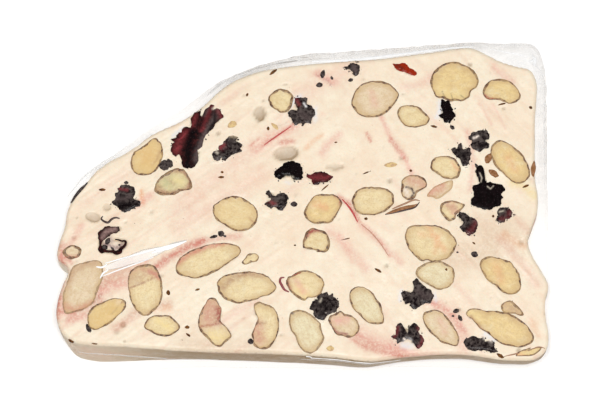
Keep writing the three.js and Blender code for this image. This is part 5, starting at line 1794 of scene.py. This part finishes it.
def kind_collection(name, makers):
    """Collection of lone cut pieces at the origin, which carry their height over the surface."""
    kinds = bpy.data.collections.new(name)
    bpy.context.scene.collection.children.link(kinds)
    for number, (points, faces, numbers, colours, uv, finish) in enumerate(makers):
        piece = new_piece(f"{name}_{number}", points, faces, finish, numbers, colours, uv)
        bpy.context.scene.collection.objects.unlink(piece)
        kinds.objects.link(piece)
    return kinds


def lone_outline(length, width, lobes, seed):
    """Outline of an unseen piece: an oval, or a lobed one for a berry."""
    angles = np.linspace(0, TURN, 64, endpoint=False)
    lobed = 1 + 0.16 * np.sin(lobes * angles + seed) + 0.08 * np.sin((lobes + 2) * angles) if lobes else 1
    return np.column_stack([np.cos(angles) * length / 2, np.sin(angles) * width / 2]) * np.reshape(lobed, (-1, 1))


def make_side_pieces(body, almonds, berries):
    """Almonds and berries cut through at the sides and on the underside."""
    almond_look = almond_finish("almond_side", almonds.cream, almonds)
    berry_look = berry_finish("berry_side", berries.grey, berries.deep)
    middle = np.zeros(2)
    makers = []
    for seed, (length, width) in enumerate(((13, 8.6), (11, 7), (9, 6.6), (12, 6))):
        points, faces, numbers, lift, uv = almond_mesh(lone_outline(length, width, 0, seed), middle, 1.6, almonds,
                                                       40 + seed, None)
        makers.append((points, faces, numbers | {"lift": lift * MM}, {"stain": np.zeros((len(points), 4))},
                       uv, almond_look))
    almond_kinds = kind_collection("almonds", makers)
    makers = []
    for seed, (length, width) in enumerate(((7, 5.4), (8.6, 5), (5.6, 5))):
        points, faces, ridge, lift = berry_mesh(lone_outline(length, width, 3, seed), middle, 1.4, berries,
                                                40 + seed, None)
        lift = np.minimum(lift, 0.12)
        makers.append((points, faces, {"ridge": ridge, "lift": lift * MM},
                       {"stain": np.zeros((len(points), 4))}, None, berry_look))
    berry_kinds = kind_collection("berries", makers)
    tree = inlay_tree()
    for zone, spacing, sizes, seed in (
        ("side", almonds.side_spacing * 0.85, (0.7, 0.85), 3), ("under", almonds.side_spacing, (0.85, 1.15), 5),
    ):
        for kinds, slot, shares, look in (
            (almond_kinds, "almond", (0.0, 0.66), almond_look), (berry_kinds, "berry", (0.66, 1.01), berry_look),
        ):
            piece = grown(f"{zone}_{kinds.name}", body, tree, {
                "Zone": f"{zone}_zone", "Kinds": kinds, "Spacing": spacing, "Share from": shares[0],
                "Share to": shares[1], "Smallest": sizes[0], "Largest": sizes[1], "Seed": seed, "Finish": look,
            })
            settle(piece, slot)
    for kinds in (almond_kinds, berry_kinds):
        remove(*kinds.objects)
        bpy.data.collections.remove(kinds)


# The film

FILM_STEPS = 720
FILM_SHARES = np.concatenate([np.linspace(0.02, 0.9, 44), np.linspace(0.915, 0.985, 6)])
FILM_LEVELS = (18.9, 18, 17, 15.5, 14, 12.5, 11, 9.5, 8, 6.5, 5, 3.5, 2, 1, 0.3, 0.05)
STAND_OFF = ((0, 1.5, 9, 15.5, 19.2), (0.97, 1, 0.92, 0.6, 0.1))


def over_berries(plan):
    """How far the film is pushed up over the berries."""
    lift = np.zeros(len(plan))
    for name in node_names("berry")[:-1]:
        outline, middle, _ = top_outline(name)
        near = np.flatnonzero(np.all(np.abs(plan - middle) < 16, axis=1))
        share = share_in(plan[near], outline, middle)
        lift[near] = np.maximum(lift[near], 0.55 * (1 - fade(share, 0.7, 1.5)))
    return lift


def film_mesh(look):
    """Corners and faces of the film as one closed bag round the slab, and the cover and lightness of its painted
    grey layer.
    """
    angles = np.linspace(-math.pi, math.pi, FILM_STEPS, endpoint=False)
    rim = reach(RIM, angles)
    rings = []
    for share in FILM_SHARES:
        plan = around(angles, rim * share, 0)[:, :2]
        height = face_height(plan) + look.lift / MM + over_berries(plan) + 0.05 * flat_cloud(plan, 6, 101)
        rings.append(np.column_stack([plan, height]))
    margin_haze_and_shade, lights = [np.zeros(1 + FILM_STEPS * len(rings))], [np.zeros(1 + FILM_STEPS * len(rings))]
    stand_off = np.maximum(0, reach(FILM_FOOT, angles) - reach(FOOT, angles) - FILM_TIGHT)
    for height in FILM_LEVELS:
        side = side_reach(angles, np.full(FILM_STEPS, height))
        share = np.interp(height, *STAND_OFF)
        level = around(angles, side + 0.55 + 0.35 * share + stand_off * share, height)
        pleats = cloud(level / (1, 1, 6), 2.2, 102) + 0.6 * cloud(level / (1, 1, 3), 1.1, 103)
        depth = look.pleat / MM * (0.3 + np.minimum(1, stand_off * share / 2)) * (0.4 + share * 0.6)
        radius = np.hypot(*level[:, :2].T) + depth * np.minimum(pleats, 0.6)
        rings.append(around(angles, np.maximum(radius, side + 0.3), height))
        # Painted shade, with some of the film's own cloudiness: behind the slab and at its right the gathered film
        # gets a grey layer, lighter and darker along its pleats, which paints the shade there and the light and
        # shade of the folds
        behind = fade(level[:, 1], -12, 15) * fade(level[:, 0], -45, -15)
        web = (1.3 - 0.3 * share) * behind * np.minimum(1, stand_off / 1.5)
        margin_haze_and_shade.append(look.haze_and_shade * web * (0.5 + fade(pleats, -0.8, 0.8)))
        lights.append(0.3 + 0.4 * fade(pleats, -0.6, 0.9))
    foot = np.hypot(*rings[-1][:, :2].T)
    for share in (0.97, 0.9, 0.8, 0.65, 0.5, 0.35, 0.2, 0.08):
        rings.append(around(angles, foot * share, 0.02))
    top = np.array([[0, 0, FACE + look.lift / MM]])
    points, faces = shell([top, *rings, np.array([[0, 0, 0.02]])])
    numbers = {"cloudy": np.zeros(len(points)), "light": np.zeros(len(points))}
    for label, parts in (("cloudy", margin_haze_and_shade), ("light", lights)):
        given = np.concatenate(parts)
        numbers[label][:len(given)] = given
    return points, faces, numbers


def make_creases(tree, film):
    """Folds and creases of the film, as thin strips on it with painted highlights and painted grey shade."""
    lines, halves, lights, glare_and_shade_covers = [], [], [], []
    for light, cloudy, end, middle, height, *pixels in CREASES:
        line = smooth_line(at_photo(pixels, height), 40)
        lines.append(np.column_stack([line, np.full(len(line), height)]))
        wave = 1 + 0.3 * flat_cloud(line, 2.5, 111)
        halves.append(pointed(40, end, middle) * wave * MM)
        lights.append(np.full(40, light))
        glare_and_shade_covers.append(np.full(40, cloudy))
    carrier = line_carrier("crease_lines", lines, {"half": halves, "light": lights, "cloudy": glare_and_shade_covers}, {})
    piece = grown("film_creases", carrier, tree, {
        "Surface": film, "Step": 0.3 * MM, "Sides": 8, "Flatness": 0.92, "Rise": 0.05 * MM,
        "Finish": film_finish("film_crease", 0.97, brightness=0.98, opacity=1.0),
    })
    remove(carrier)
    settle(piece, "film")


# The stage

def point_at(item, place, target):
    """Set an object at a place, looking at a target."""
    item.location = place
    item.rotation_euler = (Vector(target) - Vector(place)).to_track_quat("-Z", "Y").to_euler()
    bpy.context.scene.collection.objects.link(item)


def floor_finish(colour):
    """Plain pale floor with the faintest unevenness."""
    finish = Finish("pale_floor")
    shade = tuple(part * 0.985 for part in colour)
    return finish.surface(Base_Color=finish.blend(finish.mottle(60), colour, shade), Roughness=0.75,
                          Specular_IOR_Level=0.2)


class Builder:
    """What the bar's operators share."""

    bl_options = {"REGISTER", "UNDO"}

    @classmethod
    def poll(cls, context):
        return context.scene is not None


class NOUGAT_OT_slab(Builder, bpy.types.Operator):
    """Make the slab of nougat with its streaks, pits and pockets"""

    bl_idname = "nougat.slab"
    bl_label = "Slab"

    def execute(self, context):
        body = make_body(context.scene.nougat)
        settle(body, "nougat", "nougat_slab")
        return {"FINISHED"}


class NOUGAT_OT_almonds(Builder, bpy.types.Operator):
    """Make the cut almonds in the face"""

    bl_idname = "nougat.almonds"
    bl_label = "Almonds"

    def execute(self, context):
        make_almonds(context.scene.nougat_almonds)
        return {"FINISHED"}


class NOUGAT_OT_berries(Builder, bpy.types.Operator):
    """Make the dried berries in the face"""

    bl_idname = "nougat.berries"
    bl_label = "Berries"

    def execute(self, context):
        make_berries(context.scene.nougat_berries)
        return {"FINISHED"}


class NOUGAT_OT_bits(Builder, bpy.types.Operator):
    """Make the small bits and thin skins in the face"""

    bl_idname = "nougat.bits"
    bl_label = "Bits and skins"

    def execute(self, context):
        scene = context.scene
        make_bits(scene.nougat, scene.nougat_almonds, scene.nougat_berries)
        make_skins(shared("Ribbons", lambda _: ribbon_tree()), bpy.data.objects["nougat_body"])
        return {"FINISHED"}


class NOUGAT_OT_side_pieces(Builder, bpy.types.Operator):
    """Make the almonds and berries that show in the sides and underneath"""

    bl_idname = "nougat.side_pieces"
    bl_label = "Pieces in the sides"

    def execute(self, context):
        scene = context.scene
        make_side_pieces(bpy.data.objects["nougat_body"], scene.nougat_almonds, scene.nougat_berries)
        return {"FINISHED"}


class NOUGAT_OT_film(Builder, bpy.types.Operator):
    """Make the clear film with its creases"""

    bl_idname = "nougat.film"
    bl_label = "Film"

    def execute(self, context):
        look = context.scene.nougat_film
        points, faces, numbers = film_mesh(look)
        film = new_piece("clear_film", points, faces, film_finish("clear_film", look.clear, 0.98, 1.0), numbers)
        settle(film, "film", "film_wrap")
        make_creases(shared("Ribbons", lambda _: ribbon_tree()), film)
        return {"FINISHED"}


class NOUGAT_OT_stage(Builder, bpy.types.Operator):
    """Make the floor, the lights and the camera"""

    bl_idname = "nougat.stage"
    bl_label = "Stage"

    def execute(self, context):
        look = context.scene.nougat_stage
        half = 3 / MM
        corners_of_floor = [(-half, -half, 0), (half, -half, 0), (half, half, 0), (-half, half, 0)]
        new_piece("floor", corners_of_floor, [(0, 1, 2, 3)], floor_finish(look.floor))

        key = bpy.data.lights.new("key", "AREA")
        key.energy, key.size = look.key, 0.6
        point_at(bpy.data.objects.new("key", key), (0.06, -0.45, 3.0), (0, 0, 0))

        world = bpy.data.worlds.new("surroundings")
        world.use_nodes = True
        sky = world.node_tree.nodes["Background"]
        sky.inputs["Color"].default_value = (1, 1, 1, 1)
        sky.inputs["Strength"].default_value = look.sky
        context.scene.world = world
        context.scene.view_settings.view_transform = "Standard"

        camera = bpy.data.cameras.new("camera")
        camera.sensor_width = 36
        camera.lens = camera.sensor_width * PIXELS_PER_MM[0] / MM * look.distance / PHOTO_SIZE[0]
        aim = Vector((*(at_photo((PHOTO_SIZE[0] / 2, PHOTO_SIZE[1] / 2))[0] * MM), FACE * MM))
        away = Vector((0, -math.cos(CAMERA_RISE), math.sin(CAMERA_RISE))) * look.distance
        item = bpy.data.objects.new("camera", camera)
        point_at(item, aim + away, aim)
        context.scene.camera = item
        return {"FINISHED"}


OPERATORS = (NOUGAT_OT_slab, NOUGAT_OT_almonds, NOUGAT_OT_berries, NOUGAT_OT_bits, NOUGAT_OT_side_pieces,
             NOUGAT_OT_film, NOUGAT_OT_stage)
SETTINGS = (("nougat", NougatSettings), ("nougat_almonds", AlmondSettings), ("nougat_berries", BerrySettings),
            ("nougat_film", FilmSettings), ("nougat_stage", StageSettings))


class NOUGAT_PT_panel(bpy.types.Panel):
    """The bar's settings, and a button for each of its pieces"""

    bl_idname = "NOUGAT_PT_panel"
    bl_label = "Nougat Bar"
    bl_space_type = "VIEW_3D"
    bl_region_type = "UI"
    bl_category = "Nougat Bar"

    def draw(self, context):
        for label, settings in SETTINGS:
            box = self.layout.box()
            for name in settings.__annotations__:
                box.prop(getattr(context.scene, label), name)
        for operator in OPERATORS:
            self.layout.operator(operator.bl_idname)


CLASSES = (*(settings for _, settings in SETTINGS), *OPERATORS, NOUGAT_PT_panel)


def register():
    for item in CLASSES:
        bpy.utils.register_class(item)
    for label, settings in SETTINGS:
        setattr(bpy.types.Scene, label, PointerProperty(type=settings))


def unregister():
    for label, _ in SETTINGS:
        delattr(bpy.types.Scene, label)
    for item in reversed(CLASSES):
        bpy.utils.unregister_class(item)


def main():
    """Make the bar and its stage."""
    register()
    bpy.ops.nougat.stage()
    bpy.ops.nougat.slab()
    bpy.ops.nougat.almonds()
    bpy.ops.nougat.berries()
    bpy.ops.nougat.bits()
    bpy.ops.nougat.side_pieces()
    bpy.ops.nougat.film()


if __name__ == "__main__":
    main()
